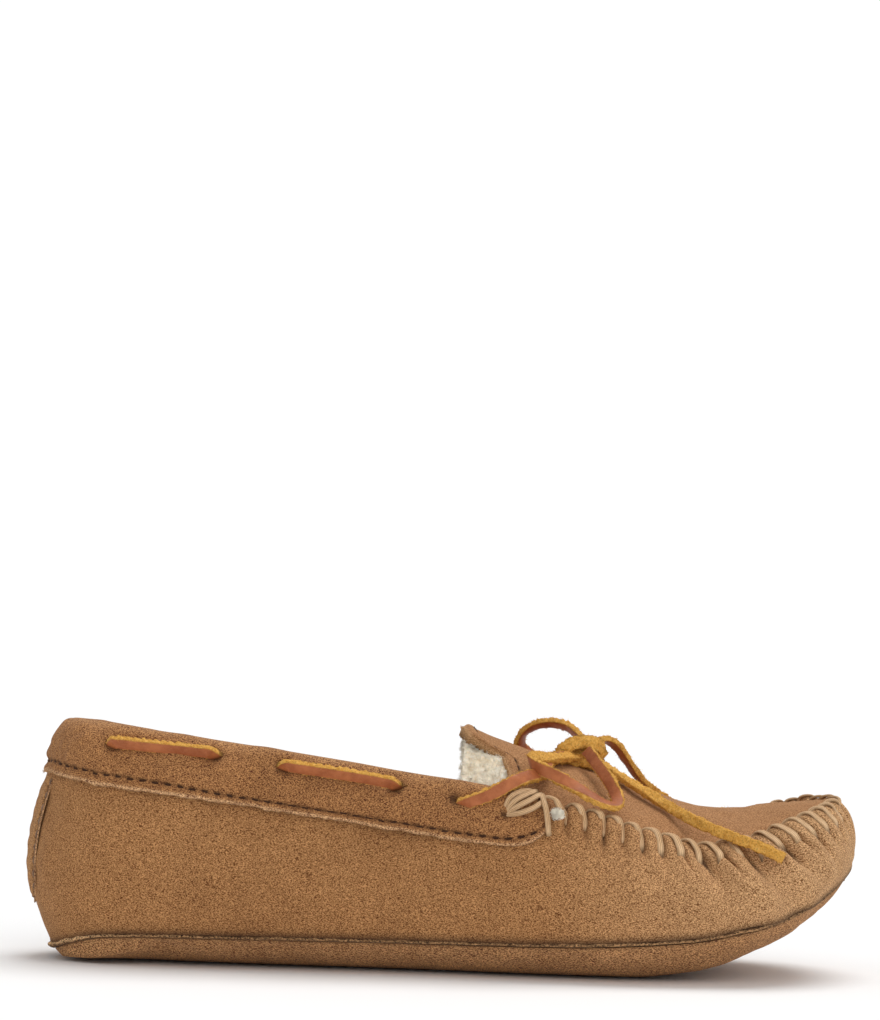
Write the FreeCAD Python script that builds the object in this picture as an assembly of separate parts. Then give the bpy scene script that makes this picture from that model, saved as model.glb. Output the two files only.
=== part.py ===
"""Soft-sole moccasin slipper, right foot: every suede, fleece, foam, lace and thread piece is a solid.

Frame: +X points to the toe, -Y is the outer (lateral) side, +Y the inner (medial) side, +Z is up.
The origin lies on the floor below the middle of the shoe's box. All sizes are in millimetres.

The shoe is built on a ring round its widest outline: ring 0 is the back of the heel and ring 1 the
tip of the toe, 0 to 1 is the lateral side and 1 to 2 the medial side. The upright wall is a surface
over (ring, rise): rise 0 is the sole seam and rise 1 the top line. "out" is a distance from that
surface, outwards, and "depth" a distance down the wall from the top line.
"""
import FreeCAD, Part
import math
import os
from FreeCAD import Vector

# ---------------------------------------------------------------- driving dimensions
SUEDE = 1.6  # thickness of the suede panels
GAP = 0.35  # air between two layers that are only sewn at their edges
SOLE_SUEDE = 2.0
WELT = 1.4
PILE = 3.4  # fleece lining, pressed
FOAM = 4.0
SOCK_PILE = 3.5
LACE_WIDTH = 4.0
LACE_THICK = 1.8
LACE_CORD = 3.0  # the plain round solid that stands for a free stretch of the lace
THREAD = 1.3  # waxed thread of the whip stitches
FINE_THREAD = 0.7  # sewing thread
FINE_PITCH = 4.1
WHIP_COUNT = 37
LACE_DEPTH = 7.2  # middle of the lace below the top line
FOLD_CLEARANCE = 0.5  # between the tongue flap and the plug

# ---------------------------------------------------------------- shape of the shoe
# Widest outline seen from above: from the heel along the lateral side to the toe, and back.
OUTLINE = [
    (-131.2, 0.0), (-125.5, -17.0), (-110.0, -28.5), (-85.0, -33.5), (-50.0, -36.5), (-10.0, -40.0),
    (30.0, -46.0), (65.0, -49.0), (92.0, -46.5), (112.0, -36.5), (126.0, -20.0),
    (132.5, 2.0),
    (127.0, 23.0), (113.0, 38.0), (90.0, 47.2), (60.0, 48.8), (25.0, 43.4), (-12.0, 37.5),
    (-50.0, 34.5), (-85.0, 33.0), (-110.0, 28.5), (-125.5, 17.0),
]
TOE_INDEX = 11
# Each of these is a smooth curve through (x, value).
SEAM_INSET = [(-132.5, 8.3), (-118, 5.5), (-95, 4.0), (100, 4.0), (118, 3.5), (132.5, 2.2)]
TOP_INSET = [(-132.5, 14.0), (-110, 10.5), (-60, 8.5), (0, 7.0), (36, 7.0), (55, 10.0), (75, 13.5),
             (92, 15.5), (108, 13.5), (122, 9.5), (132.5, 6.5)]
SEAM_HEIGHT = [(-124.5, 2.6), (-117, 6.0), (-105.6, 9.0), (-74, 10.0), (18, 10.9), (48, 11.6), (78, 14.0),
               (88, 15.9), (101, 18.8), (112, 23.1), (122, 28.4), (130.3, 34.0)]
TOP_HEIGHT = [(-118.7, 76.2), (-104, 75.2), (-91.8, 73.6), (-60.3, 69.5), (-29.3, 65.3), (-13.8, 62.9),
              (-1.4, 61.2), (12, 59.4), (22, 57.2), (30.7, 54.6), (36, 52.4), (47.6, 49.5), (60, 45.7),
              (66.2, 44.0), (75.7, 41.7), (85.2, 41.1), (93.4, 42.9), (101.7, 45.9), (108.4, 48.1),
              (115.5, 50.8), (122.8, 53.6), (126, 54.6)]
BULGE_SHARE = [(-132.5, 0.355), (-90, 0.30), (0, 0.25), (60, 0.28), (95, 0.34), (132.5, 0.33)]
MEDIAL_RISE = [(-120, 0.0), (-100, -1.2), (-60, -2.6), (8, -2.6), (30, -1.0), (45, 0.5), (70, 2.5),
               (110, 3.0), (126, 0.5)]
COLLAR_EDGE_HEIGHT = [(-127, 61.0), (-106, 57.9), (-74.7, 53.4), (-43.9, 48.3), (-13.2, 44.0),
                      (11.2, 41.0), (21.0, 40.4), (28.0, 42.6), (32.5, 46.5)]
SOLE_HEIGHT = [(60, 0.0), (68, 0.6), (80, 2.5), (89, 4.8), (102.5, 9.8), (113, 15.5), (123, 22.4),
               (128, 26.4), (130.7, 29.9)]
SOLE_ROUNDING = 22.0  # the sole curls up to its seam over this width
RIDGE_HEIGHT = [(9.4, 76.8), (27.2, 69.4), (43, 64.2), (65.9, 57.3), (78.8, 53.0), (91.6, 52.2),
                (104.4, 53.6), (113.9, 55.4), (121.9, 56.2), (126.1, 55.4)]

TONGUE_REAR = (9.4, 76.8, 18.8, 29.5, 60.8)  # ridge x and z, then the corners' x, half width and z
FOLD = (21.0, 72.0, 25.0, 31.5, 57.6)  # the same where the tongue bends
PLUG_REAR = (21.0 + FOLD_CLEARANCE, 71.8, 25.0 + FOLD_CLEARANCE, 31.7, 57.4)
TONGUE_LINING_REAR = (7.0, 74.0, 5.2, 23.5, 60.6)
TONGUE_LINING_FOLD = (21.0, 69.6, 23.6, 28.4, 56.8)

COLLAR_FRONT = 32.0  # x of the collar's two ends
PLUG_SEAM_START = 35.0  # x where the plug meets the vamp
LINING_SPLIT = 8.0  # x where the quarter lining meets the vamp lining
SLITS = [(-105.4, -68.7), (-50.7, -12.7)]  # x of the lace's slits: between each pair it shows
LACE_EXIT = 4.0  # x of the last slit on each side

# The free lace, as points of its middle line.
STRAND_NEAR = [(4.4, -42.6, 55.0), (10.4, -43.6, 57.8), (17.0, -40.2, 60.8), (23.4, -32.8, 62.6),
               (29.4, -24.8, 65.4), (35.0, -16.0, 67.8), (39.4, -7.8, 68.6)]
STRAND_FAR = [(4.4, 40.4, 52.6), (10.4, 41.4, 55.6), (17.0, 38.0, 59.4), (23.4, 31.6, 61.8),
              (29.4, 23.4, 65.0), (35.0, 14.8, 67.0), (39.4, 6.6, 68.2)]
LOOP_NEAR = [(39.0, -5.5, 70.6), (32.5, -13.5, 71.4), (26.6, -20.6, 71.0), (22.6, -26.8, 69.2),
             (23.8, -32.4, 66.4), (32.0, -35.6, 62.4), (42.6, -37.0, 58.2), (51.2, -37.4, 55.2),
             (56.0, -34.0, 55.6), (55.0, -27.6, 59.8), (51.4, -19.4, 64.8), (47.0, -9.0, 68.6)]
LOOP_FAR = [(43.0, 1.5, 73.0), (39.6, 6.0, 77.4), (33.6, 12.0, 79.8), (27.2, 17.5, 79.2),
            (22.6, 23.0, 75.4), (22.4, 28.4, 70.6), (27.4, 31.8, 67.2), (34.5, 29.4, 65.4),
            (40.0, 21.0, 65.8), (44.0, 11.0, 67.4), (45.4, 5.5, 68.4)]
TAIL_NEAR = [(48.0, -4.0, 67.0), (56.0, -8.5, 62.6), (64.5, -11.5, 59.0), (72.0, -14.0, 55.6),
             (79.5, -17.0, 52.8), (87.0, -22.5, 50.2), (94.5, -28.8, 48.3), (100.8, -34.2, 45.0),
             (105.5, -39.2, 40.6)]
TAIL_FAR = [(47.0, 1.5, 71.5), (52.5, 4.0, 74.0), (58.2, 7.0, 71.4), (63.6, 10.0, 66.0),
            (69.4, 12.5, 60.2), (76.0, 15.2, 56.0), (84.0, 19.0, 53.4), (91.4, 24.4, 53.0),
            (98.4, 30.4, 53.0), (104.0, 36.2, 50.6)]
KNOT_CENTRE = (43.5, -1.0, 69.8)
KNOT_HALF = (6.2, 5.8, 4.2)


# ---------------------------------------------------------------- smooth curves
def mix(low, high, share):
    return low + (high - low) * share


def smooth(low, high, x):
    """0 below low, 1 above high, and an S between."""
    t = min(max((x - low) / (high - low), 0.0), 1.0)
    return t * t * (3 - 2 * t)


def spread(low, high, count):
    return [mix(low, high, i / (count - 1)) for i in range(count)]


def curve(knots, x):
    """Value at x of a smooth curve through (x, value) pairs, level beyond both ends."""
    if x <= knots[0][0]:
        return knots[0][1]
    if x >= knots[-1][0]:
        return knots[-1][1]
    k = max(i for i in range(len(knots) - 1) if knots[i][0] <= x)

    def slope(i):
        low, high = knots[max(i - 1, 0)], knots[min(i + 1, len(knots) - 1)]
        return (high[1] - low[1]) / (high[0] - low[0])

    (x0, y0), (x1, y1) = knots[k], knots[k + 1]
    span = x1 - x0
    t = (x - x0) / span
    return (y0 * (1 + 2 * t) * (1 - t) ** 2 + slope(k) * span * t * (1 - t) ** 2
            + y1 * t * t * (3 - 2 * t) + slope(k + 1) * span * t * t * (t - 1))


def closed_spline(points, per_span):
    """Points of a smooth closed curve through the given ones, per_span for each stretch."""
    n = len(points)
    found = []
    for i in range(n):
        a, b, c, d = (points[(i + k) % n] for k in (-1, 0, 1, 2))
        for j in range(per_span):
            t = j / per_span
            found.append(tuple(
                0.5 * (2 * b[k] + (c[k] - a[k]) * t + (2 * a[k] - 5 * b[k] + 4 * c[k] - d[k]) * t * t
                       + (3 * b[k] - a[k] - 3 * c[k] + d[k]) * t ** 3) for k in (0, 1)))
    return found


def run_lengths(points):
    total = [0.0]
    for a, b in zip(points, points[1:]):
        total.append(total[-1] + math.dist(a, b))
    return total


PER_SPAN = 40
DENSE = closed_spline(OUTLINE, PER_SPAN)
HALVES = [DENSE[:TOE_INDEX * PER_SPAN + 1], (DENSE[TOE_INDEX * PER_SPAN:] + [DENSE[0]])[::-1]]
RUNS = [run_lengths(half) for half in HALVES]


def outline(ring):
    """Plan point (x, y) of the widest outline."""
    ring = ring % 2
    side, share = (0, ring) if ring <= 1 else (1, 2 - ring)
    half, run = HALVES[side], RUNS[side]
    at = share * run[-1]
    low, high = 0, len(run) - 1
    while high - low > 1:
        middle = (low + high) // 2
        if run[middle] <= at:
            low = middle
        else:
            high = middle
    t = (at - run[low]) / (run[high] - run[low])
    return tuple(mix(half[low][k], half[high][k], t) for k in (0, 1))


def ring_at(x, side):
    """Ring value where the outline passes x, with side 0 lateral (0 to 1) and 1 medial (-1 to 0)."""
    low, high = 0.0, 1.0
    for _ in range(40):
        middle = (low + high) / 2
        if outline(middle if side == 0 else 2 - middle)[0] < x:
            low = middle
        else:
            high = middle
    return low if side == 0 else -low


def outward(ring):
    """Plan unit vector that points out of the shoe."""
    (x0, y0), (x1, y1) = outline(ring - 0.012), outline(ring + 0.012)
    size = math.hypot(x1 - x0, y1 - y0)
    return (y0 - y1) / -size, (x0 - x1) / size


# ---------------------------------------------------------------- the upright wall
def wall_span(ring):
    """Heights of the sole seam and of the top line at this ring."""
    x, y = outline(ring)
    nx, ny = outward(ring)
    top = curve(TOP_INSET, x)
    top_x, top_y = x - top * nx, y - top * ny
    medial = smooth(0, 25, top_y)
    return (curve(SEAM_HEIGHT, x - curve(SEAM_INSET, x) * nx),
            curve(TOP_HEIGHT, top_x) + curve(MEDIAL_RISE, top_x) * medial)


def wall(ring, rise):
    """Point of the upright wall's outer face."""
    x, y = outline(ring)
    nx, ny = outward(ring)
    bulge = curve(BULGE_SHARE, x)
    if rise < bulge:
        inset = curve(SEAM_INSET, x) * ((bulge - rise) / bulge) ** 2
    else:
        inset = curve(TOP_INSET, x) * ((rise - bulge) / (1 - bulge)) ** 2
    return Vector(x - nx * inset, y - ny * inset, mix(*wall_span(ring), rise))


def wall_frame(ring, rise):
    """Point, unit vector along the ring, and outward unit normal of the wall."""
    step = 0.004
    along = (wall(ring + step, rise) - wall(ring - step, rise)).normalize()
    up = wall(ring, rise + step) - wall(ring, rise - step)
    normal = along.cross(up).normalize()
    nx, ny = outward(ring)
    if normal.x * nx + normal.y * ny < 0:
        normal = normal * -1
    return wall(ring, rise), along, normal


def wall_at(ring, rise, out):
    point, _, normal = wall_frame(ring, rise)
    return point + normal * out


def rise_at_height(ring, z):
    low, high = wall_span(ring)
    return (z - low) / (high - low)


def wall_down(ring, depth, out):
    """Point on the wall this far below the top line."""
    return wall_at(ring, rise_at_height(ring, wall_span(ring)[1] - depth), out)


# ---------------------------------------------------------------- solids
def clamped_knots(count):
    """Degree, knots and multiplicities of an evenly spaced spline with this many control points."""
    degree = min(3, count - 1)
    knots = [float(k) for k in range(count - degree + 1)]
    return degree, knots, [degree + 1] + [1] * (len(knots) - 2) + [degree + 1]


def face_of(grid):
    """Smooth surface with the grid as its control points, so it has no waves of its own."""
    u_degree, u_knots, u_mults = clamped_knots(len(grid))
    v_degree, v_knots, v_mults = clamped_knots(len(grid[0]))
    surface = Part.BSplineSurface()
    surface.buildFromPolesMultsKnots(grid, u_mults, v_mults, u_knots, v_knots, False, False,
                                     u_degree, v_degree)
    return surface


SAME_DIRECTION = 1  # a ruled face between two edges pairs their ends as they run


def sheet_solid(outer, inner):
    """Closed solid between two grids of points that have the same rows and columns."""
    faces, borders = [], []
    for grid in (outer, inner):
        surface = face_of(grid)
        u0, u1, v0, v1 = surface.bounds()
        faces.append(surface.toShape())
        borders.append([surface.uIso(u0), surface.uIso(u1), surface.vIso(v0), surface.vIso(v1)])
    for one, other in zip(*borders):
        faces.append(Part.makeRuledSurface(one.toShape(), other.toShape(), SAME_DIRECTION))
    sewn = Part.makeCompound(faces)
    sewn.sewShape()
    shell = sewn.Shells[0]
    if Part.makeSolid(shell).Volume < 0:
        shell.reverse()
    return Part.makeSolid(shell)


def wall_panel(rings, heights, out_low, out_high):
    """Panel on the wall: heights(ring) gives its rises, and the outs may be functions of the ring."""
    def grid(out):
        return [[wall_at(r, w, out(r) if callable(out) else out) for w in heights(r)] for r in rings]
    return sheet_solid(grid(out_high), grid(out_low))


def tube(points, radius):
    """Round tube along straight runs joined by tangent arcs. Returns it with the arcs' radii."""
    points = [Vector(*p) for p in points]
    edges, radii, start = [], [], points[0]
    for before, at, after in zip(points, points[1:], points[2:]):
        a, b = (before - at), (after - at)
        shorter = min(a.Length, b.Length)
        turn = math.pi - a.getAngle(b)
        setback = 0.45 * shorter
        one, two = at + a.normalize() * setback, at + b.normalize() * setback
        arc_radius = setback / math.tan(turn / 2)
        radii.append(arc_radius)
        inwards = (a + b).normalize()
        middle = at + inwards * (arc_radius / math.cos(turn / 2) - arc_radius)
        edges.append(Part.LineSegment(start, one).toShape())
        edges.append(Part.Arc(one, middle, two).toShape())
        start = two
    edges.append(Part.LineSegment(start, points[-1]).toShape())
    path = Part.Wire(edges)
    ring = Part.Wire([Part.Circle(points[0], points[1] - points[0], radius).toShape()])
    solid = path.makePipeShell([ring], True, False)
    return solid, radii, path.Length


def arc_thread(start, middle, end, radius):
    """Thread on one arc through three points."""
    path = Part.Wire([Part.Arc(start, middle, end).toShape()])
    direction = path.Edges[0].tangentAt(path.Edges[0].FirstParameter)
    ring = Part.Wire([Part.Circle(start, direction, radius).toShape()])
    return path.makePipeShell([ring], True, False)


def short_stitch(start, end, radius):
    along = end - start
    return Part.makeCylinder(radius, along.Length, start, along)


# ---------------------------------------------------------------- sole
RING_LOW, RING_HIGH = 0.010, 0.990  # the open ends of the surfaces that run across the shoe
ACROSS = spread(-1, 1, 15)


def seam_pair(share, inset):
    """The two plan points across from each other, inset from the sole seam."""
    found = []
    for ring in (share, 2 - share):
        x, y = outline(ring)
        nx, ny = outward(ring)
        back = curve(SEAM_INSET, x) + inset
        found.append((x - nx * back, y - ny * back))
    return found


def sole_point(share, u, inset, lift, wall_thickness=SOLE_SUEDE):
    """Point of a layer of the sole, across the shoe from u -1 to 1. Its middle is lifted by lift."""
    (x0, y0), (x1, y1) = seam_pair(share, inset)
    t = (u + 1) / 2
    x, y = mix(x0, x1, t), mix(y0, y1, t)
    heel, toe = seam_pair(0.0001, 0)[0][0], seam_pair(0.9999, 0)[0][0]
    side = math.hypot(x1 - x0, y1 - y0) / 2 * (1 - abs(u)) + inset
    end = min(x - heel, toe - x) * 1.1
    edge = max(side * end / math.hypot(side, end) if side > 0 and end > 0 else 0.0, 0.0)
    curl = min(max(1 - (edge - wall_thickness) / SOLE_ROUNDING, 0.0), 1.0) ** 2.3
    bottom = curve(SOLE_HEIGHT, x)
    seam = mix(wall_span(share)[0], wall_span(2 - share)[0], t)
    return Vector(x, y, mix(bottom + lift, seam - WELT / 2 - 0.05, curl))


def across_solid(shares, low, high):
    """Closed solid between two surfaces given as functions of (share, u)."""
    grids = [[[f(s, u) for u in ACROSS] for s in shares] for f in (high, low)]
    return sheet_solid(*grids)


TREAD_CUT = 0.3  # the sole is made this much too deep and cut level, so it rests on a true plane
SEAM_MARGIN = 0.3  # between the sole's edge and the seam line


def outsole():
    shares = [RING_LOW, 0.02, 0.035] + spread(0.055, 0.945, 44) + [0.965, 0.98, RING_HIGH]
    dish = across_solid(shares, lambda s, u: sole_point(s, u, SEAM_MARGIN, -TREAD_CUT, 0.0),
                        lambda s, u: sole_point(s, u, SEAM_MARGIN + SOLE_SUEDE, SOLE_SUEDE))
    below = Part.makeBox(400, 200, 20, Vector(-200, -100, -20))
    return dish.cut(below)


PAD_INSET = 7.0
PAD_SHARES = spread(0.075, 0.95, 40)
PAD_LIFT = SOLE_SUEDE + 3 * GAP
SOCK_LIFT = PAD_LIFT + FOAM + GAP


def midsole_pad():
    return across_solid(PAD_SHARES, lambda s, u: sole_point(s, u, PAD_INSET, PAD_LIFT),
                        lambda s, u: sole_point(s, u, PAD_INSET, PAD_LIFT + FOAM))


def insole_fleece():
    return across_solid(PAD_SHARES, lambda s, u: sole_point(s, u, PAD_INSET, SOCK_LIFT),
                        lambda s, u: sole_point(s, u, PAD_INSET, SOCK_LIFT + SOCK_PILE))


def sole_welt():
    """Narrow strip sewn in between the vamp and the outsole; it stands proud all round."""
    rings = spread(0.003, 1.997, 121)
    proud = 1.6

    def edge(ring, out, lift):
        x, y = outline(ring)
        nx, ny = outward(ring)
        back = curve(SEAM_INSET, x) - out
        return Vector(x - nx * back, y - ny * back, wall_span(ring)[0] + lift)

    outs = spread(-SUEDE, proud, 4)
    return sheet_solid([[edge(r, o, WELT / 2) for o in outs] for r in rings],
                       [[edge(r, o, -WELT / 2) for o in outs] for r in rings])


# ---------------------------------------------------------------- upper
END_RINGS = [0.003, 0.006, 0.010, 0.016, 0.024]  # close together, where the heel turns fast


def vamp():
    """One suede wall round the whole foot, closed by the seam at the back of the heel."""
    rings = END_RINGS + spread(0.034, 1.966, 121) + [2 - r for r in reversed(END_RINGS)]

    def heights(ring):
        low, high = wall_span(ring)
        x = outline(ring)[0]
        hidden = 4.5 * (1 - smooth(32, 37, x))
        return spread((WELT / 2 + 0.05) / (high - low), 1 - hidden / (high - low), 17)
    return wall_panel(rings, heights, -SUEDE, 0)


def lining(rings, top_depth):
    """Fleece against the wall's inner face, from just above the sole seam up to top_depth(x)."""
    def heights(ring):
        low, high = wall_span(ring)
        return spread(3.4 / (high - low), 1 - top_depth(outline(ring)[0]) / (high - low), 14)
    return wall_panel(rings, heights, -(SUEDE + GAP + PILE), -(SUEDE + GAP))


def quarter_lining():
    rings = spread(ring_at(LINING_SPLIT, 1), ring_at(LINING_SPLIT, 0), 110)
    return lining(rings, lambda x: 6.6)


def vamp_lining():
    start = ring_at(LINING_SPLIT, 0) + 0.0015
    rings = spread(start, 2 + ring_at(LINING_SPLIT, 1) - 0.0015, 90)
    return lining(rings, lambda x: mix(13.6, 8.0, smooth(22, 36, x)))


def collar_section(ring):
    """The folded collar strip, from its outer raw edge over the rim and down inside: (depth, out)."""
    x = outline(ring)[0]
    edge_depth = wall_span(ring)[1] - curve(COLLAR_EDGE_HEIGHT, x)
    puff = mix(1.0, 0.25, smooth(8, 24, x))
    pile = mix(PILE, 0.1, smooth(8, 20, x))
    inner_reach = mix(12.5, 5.6, smooth(6, 20, x))
    far_face = -(SUEDE + 3 * GAP + pile)
    shares = [1.0, 0.85, 0.70, 0.48, 0.2, 0.0]
    proud = [0.0, 0.0, 1.0, 2.15, 2.25, 1.2]
    inner, outer = [], []
    for share, lift in zip(shares, proud):
        depth = mix(1.8, edge_depth, share)
        outer.append((depth, GAP + SUEDE + lift * puff))
        inner.append((max(depth, 2.4), GAP + lift * puff))
    roll = far_face - SUEDE
    outer += [(0.3, 0.6), (0.0, 0.38 * roll), (0.9, 0.78 * roll), (3.2, roll),
              (mix(3.2, inner_reach, 0.5), roll), (inner_reach, roll)]
    inner += [(1.9, -0.2), (1.6, 0.38 * roll), (2.2, 0.8 * far_face), (3.8, far_face),
              (mix(3.8, inner_reach, 0.5), far_face), (inner_reach, far_face)]
    return outer, inner


def collar():
    rings = spread(ring_at(COLLAR_FRONT, 1), ring_at(COLLAR_FRONT, 0), 90)
    sections = [(r, *collar_section(r)) for r in rings]
    return sheet_solid([[wall_down(r, d, o) for d, o in outer] for r, outer, _ in sections],
                       [[wall_down(r, d, o) for d, o in inner] for r, _, inner in sections])


PATCH_TOP, PATCH_BOTTOM = 59.2, 17.0
PATCH_OUT = (GAP, GAP + 1.3)


def patch_half_width(z):
    """Half width of the heel patch, with a rounded lower end."""
    rounding = 1 - max(0.0, (PATCH_BOTTOM + 9 - z) / 9.6) ** 2
    return mix(13.5, 16.5, smooth(30, PATCH_TOP, z)) * math.sqrt(max(rounding, 0.0))


def patch_point(share, z, out):
    girth = RUNS[0][-1]
    ring = share * patch_half_width(z) / girth
    return wall_at(ring, rise_at_height(ring, z), out)


def heel_patch():
    heights = [17.0, 17.5, 18.5, 20, 22.5, 26] + spread(30, PATCH_TOP, 8)
    shares = spread(-1, 1, 9)
    return sheet_solid([[patch_point(s, z, PATCH_OUT[1]) for s in shares] for z in heights],
                       [[patch_point(s, z, PATCH_OUT[0]) for s in shares] for z in heights])


# ---------------------------------------------------------------- plug and tongue
PLUG_OUT = -(SUEDE + 0.9)  # the plug's edge, just inside the vamp's


def arch(low_left, low_right, crown, u):
    """Point of a crowned line from one edge to the other, through the crown at u 0."""
    t = (u + 1) / 2
    chord = low_left + (low_right - low_left) * t
    lift = crown - (low_left + low_right) * 0.5
    return chord + lift * (1 - u * u)


def end_row(dims):
    ridge_x, ridge_z, x, half, z = dims
    return Vector(x, -half, z), Vector(x, half, z), Vector(ridge_x, 0, ridge_z)


def plug_row(share):
    edges = [wall_at(ring, 1, PLUG_OUT) for ring in (share, 2 - share)]
    middle = (edges[0] + edges[1]) * 0.5
    return edges[0], edges[1], Vector(middle.x, middle.y, curve(RIDGE_HEIGHT, middle.x))


def layer(rows, lift, width):
    """Grid of points across the rows, moved down by lift, and narrowed to the given half width."""
    grid = []
    for row in rows:
        half = (row[1] - row[0]).Length / 2
        reach = max(half - width, half * 0.3) / half
        grid.append([arch(*row, u * reach) - Vector(0, 0, lift) for u in ACROSS])
    return grid


def plug_rows(last_share):
    first = ring_at(PLUG_SEAM_START, 0)
    return [end_row(PLUG_REAR)] + [plug_row(s) for s in spread(first, last_share, 26)]


def plug():
    rows = plug_rows(0.985)
    return sheet_solid(layer(rows, 0, 0), layer(rows, SUEDE, 0.3))


def plug_lining():
    rows = plug_rows(0.972)
    drop = SUEDE + GAP
    return sheet_solid(layer(rows, drop, 2.5), layer(rows, drop + PILE, 3.5))


def tongue_rows():
    """Rows from the tongue's rear edge to its fold."""
    rear, fold = end_row(TONGUE_REAR), end_row(FOLD)
    return [tuple(a + (b - a) * t for a, b in zip(rear, fold)) for t in spread(0, 1, 5)]


def tongue_flap():
    rows = tongue_rows()
    return sheet_solid(layer(rows, 0, 0), layer(rows, SUEDE, 0))


def tongue_lining():
    """Fleece below the tongue. At the sides it reaches further back than the suede, and shows."""
    rear, fold = end_row(TONGUE_LINING_REAR), end_row(TONGUE_LINING_FOLD)
    rows = [tuple(a + (b - a) * t for a, b in zip(rear, fold)) for t in spread(0, 1, 5)]
    return sheet_solid(layer(rows, 0, 0), layer(rows, PILE, 0))


def tongue_binding():
    """The tongue's rear edge turned under itself: a narrow second layer along the edge."""
    rows = tongue_rows()
    front = tuple(a + (b - a) * 0.13 for a, b in zip(rows[0], rows[-1]))
    kept = [rows[0], tuple((a + b) * 0.5 for a, b in zip(rows[0], front)), front]
    drop = SUEDE + 0.02
    return sheet_solid(layer(kept, drop, 0.2), layer(kept, drop + 1.3, 0.2))


# ---------------------------------------------------------------- lace
def lace_collar_run():
    """The lace inside the collar: it shows outside between each pair of slits."""
    start, end = ring_at(LACE_EXIT, 1), ring_at(LACE_EXIT, 0)
    hidden_out, shown_out = 1.1, 4.95
    change = 3.0

    def middle(ring):
        x = outline(ring)[0]
        shown = max(smooth(a - change, a + change, x) * (1 - smooth(b - change, b + change, x))
                    for a, b in SLITS)
        shown = max(shown, smooth(LACE_EXIT - 2 * change, LACE_EXIT, x))
        return mix(hidden_out, shown_out, shown)

    def grid(side):
        return [[wall_down(r, LACE_DEPTH + w, middle(r) + side * LACE_THICK / 2)
                 for w in spread(LACE_WIDTH / 2, -LACE_WIDTH / 2, 4)] for r in spread(start, end, 150)]
    return sheet_solid(grid(1), grid(-1))


def lace_knot():
    matrix = FreeCAD.Matrix()
    matrix.scale(*KNOT_HALF)
    ball = Part.makeSphere(1.0).transformGeometry(matrix)
    ball.translate(Vector(*KNOT_CENTRE))
    return ball


# ---------------------------------------------------------------- thread
def whip_rings():
    """Ring values of the whip stitches, evenly spaced along the plug's seam."""
    low, high = ring_at(PLUG_SEAM_START + 1.5, 0), 2 + ring_at(PLUG_SEAM_START + 1.5, 1)
    fine = spread(low, high, 600)
    runs = run_lengths([tuple(wall(r, 1)) for r in fine])
    found = []
    for k in range(WHIP_COUNT):
        at = runs[-1] * k / (WHIP_COUNT - 1)
        found.append(fine[min(range(len(runs)), key=lambda i: abs(runs[i] - at))])
    return found


def whip_stitches():
    """Each stitch arches over the vamp's edge, from the plug down into a crease, and leans back."""
    loops = []
    for ring in whip_rings():
        lean = 0.0035 if ring < 1 else -0.0035
        inside = wall_at(ring - lean, 1, PLUG_OUT - 1.6) + Vector(0, 0, 0.4)
        outside = wall_down(ring + lean, 4.4, 0.3)
        top = wall_at(ring, 1, -SUEDE / 2) + Vector(0, 0, 1.7)
        loops.append(arc_thread(inside, top, outside, THREAD / 2))
    return Part.makeCompound(loops)


def bar_tack(side):
    """Strands at the throat corner, from one hole in the collar to the plug, and one upright."""
    strands = []
    hole_ring = ring_at(20.0, side)
    for k in range(3):
        shift = (k - 1) * 1.5
        start = wall_down(hole_ring, 6.2 + shift * 0.5, 3.0)
        ring = ring_at(30.0 + shift, side)
        end = wall_down(ring, 0.6, 0.5) + Vector(0, 0, 1.0)
        middle = (start + end) * 0.5 + wall_frame(ring, 0.9)[2] * 1.9
        strands.append(arc_thread(start, middle, end, THREAD / 2))
    ring = ring_at(31.2, side)
    low = wall_down(ring, 9.2, 2.2)
    high = wall_down(ring, 0.8, 0.6) + Vector(0, 0, 1.0)
    middle = wall_down(ring, 4.6, 3.4)
    strands.append(arc_thread(high, middle, low, THREAD / 2))
    return Part.makeCompound(strands)


def stitch_row(point_at, length, pitch, radius):
    """Running stitch along point_at(distance): a short straight thread in each pitch."""
    count = int(length / pitch)
    stitch = pitch * 0.62
    found = []
    for k in range(count):
        at = (k + 0.5) * length / count
        found.append(short_stitch(point_at(at - stitch / 2), point_at(at + stitch / 2), radius))
    return Part.makeCompound(found)


def line_at(points):
    """Function from a distance to the point that far along a polyline."""
    runs = run_lengths([tuple(p) for p in points])

    def point_at(distance):
        k = max(i for i in range(len(runs) - 1) if runs[i] <= max(distance, 0.0))
        return points[k] + (points[k + 1] - points[k]) * ((distance - runs[k]) / (runs[k + 1] - runs[k]))
    return point_at, runs[-1]


def collar_stitches():
    inset, out = 2.3, GAP + SUEDE + 0.2
    points = []
    for ring in spread(ring_at(COLLAR_FRONT - 1.5, 1), ring_at(COLLAR_FRONT - 1.5, 0), 240):
        depth = wall_span(ring)[1] - curve(COLLAR_EDGE_HEIGHT, outline(ring)[0])
        points.append(wall_down(ring, depth - inset, out))
    point_at, length = line_at(points)
    return stitch_row(point_at, length, FINE_PITCH, FINE_THREAD / 2)


def heel_patch_stitches():
    inset, out = 2.0, PATCH_OUT[1] + 0.2
    points = []
    for side in (-1, 1):
        column = [patch_point(side * (1 - inset / patch_half_width(z)), z, out)
                  for z in spread(21.0, PATCH_TOP - 0.5, 40)]
        points += column[::-1] + [patch_point(s, 20.0, out) for s in (-0.5, 0, 0.5)] if side == -1 else column
    point_at, length = line_at(points)
    return stitch_row(point_at, length, FINE_PITCH, FINE_THREAD / 2)


def tongue_stitches():
    row = tuple(a + (b - a) * 0.2 for a, b in zip(*(tongue_rows()[k] for k in (0, -1))))
    point_at, length = line_at([arch(*row, u * 0.93) + Vector(0, 0, 0.2) for u in spread(-1, 1, 80)])
    return stitch_row(point_at, length, FINE_PITCH, FINE_THREAD / 2)


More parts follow.
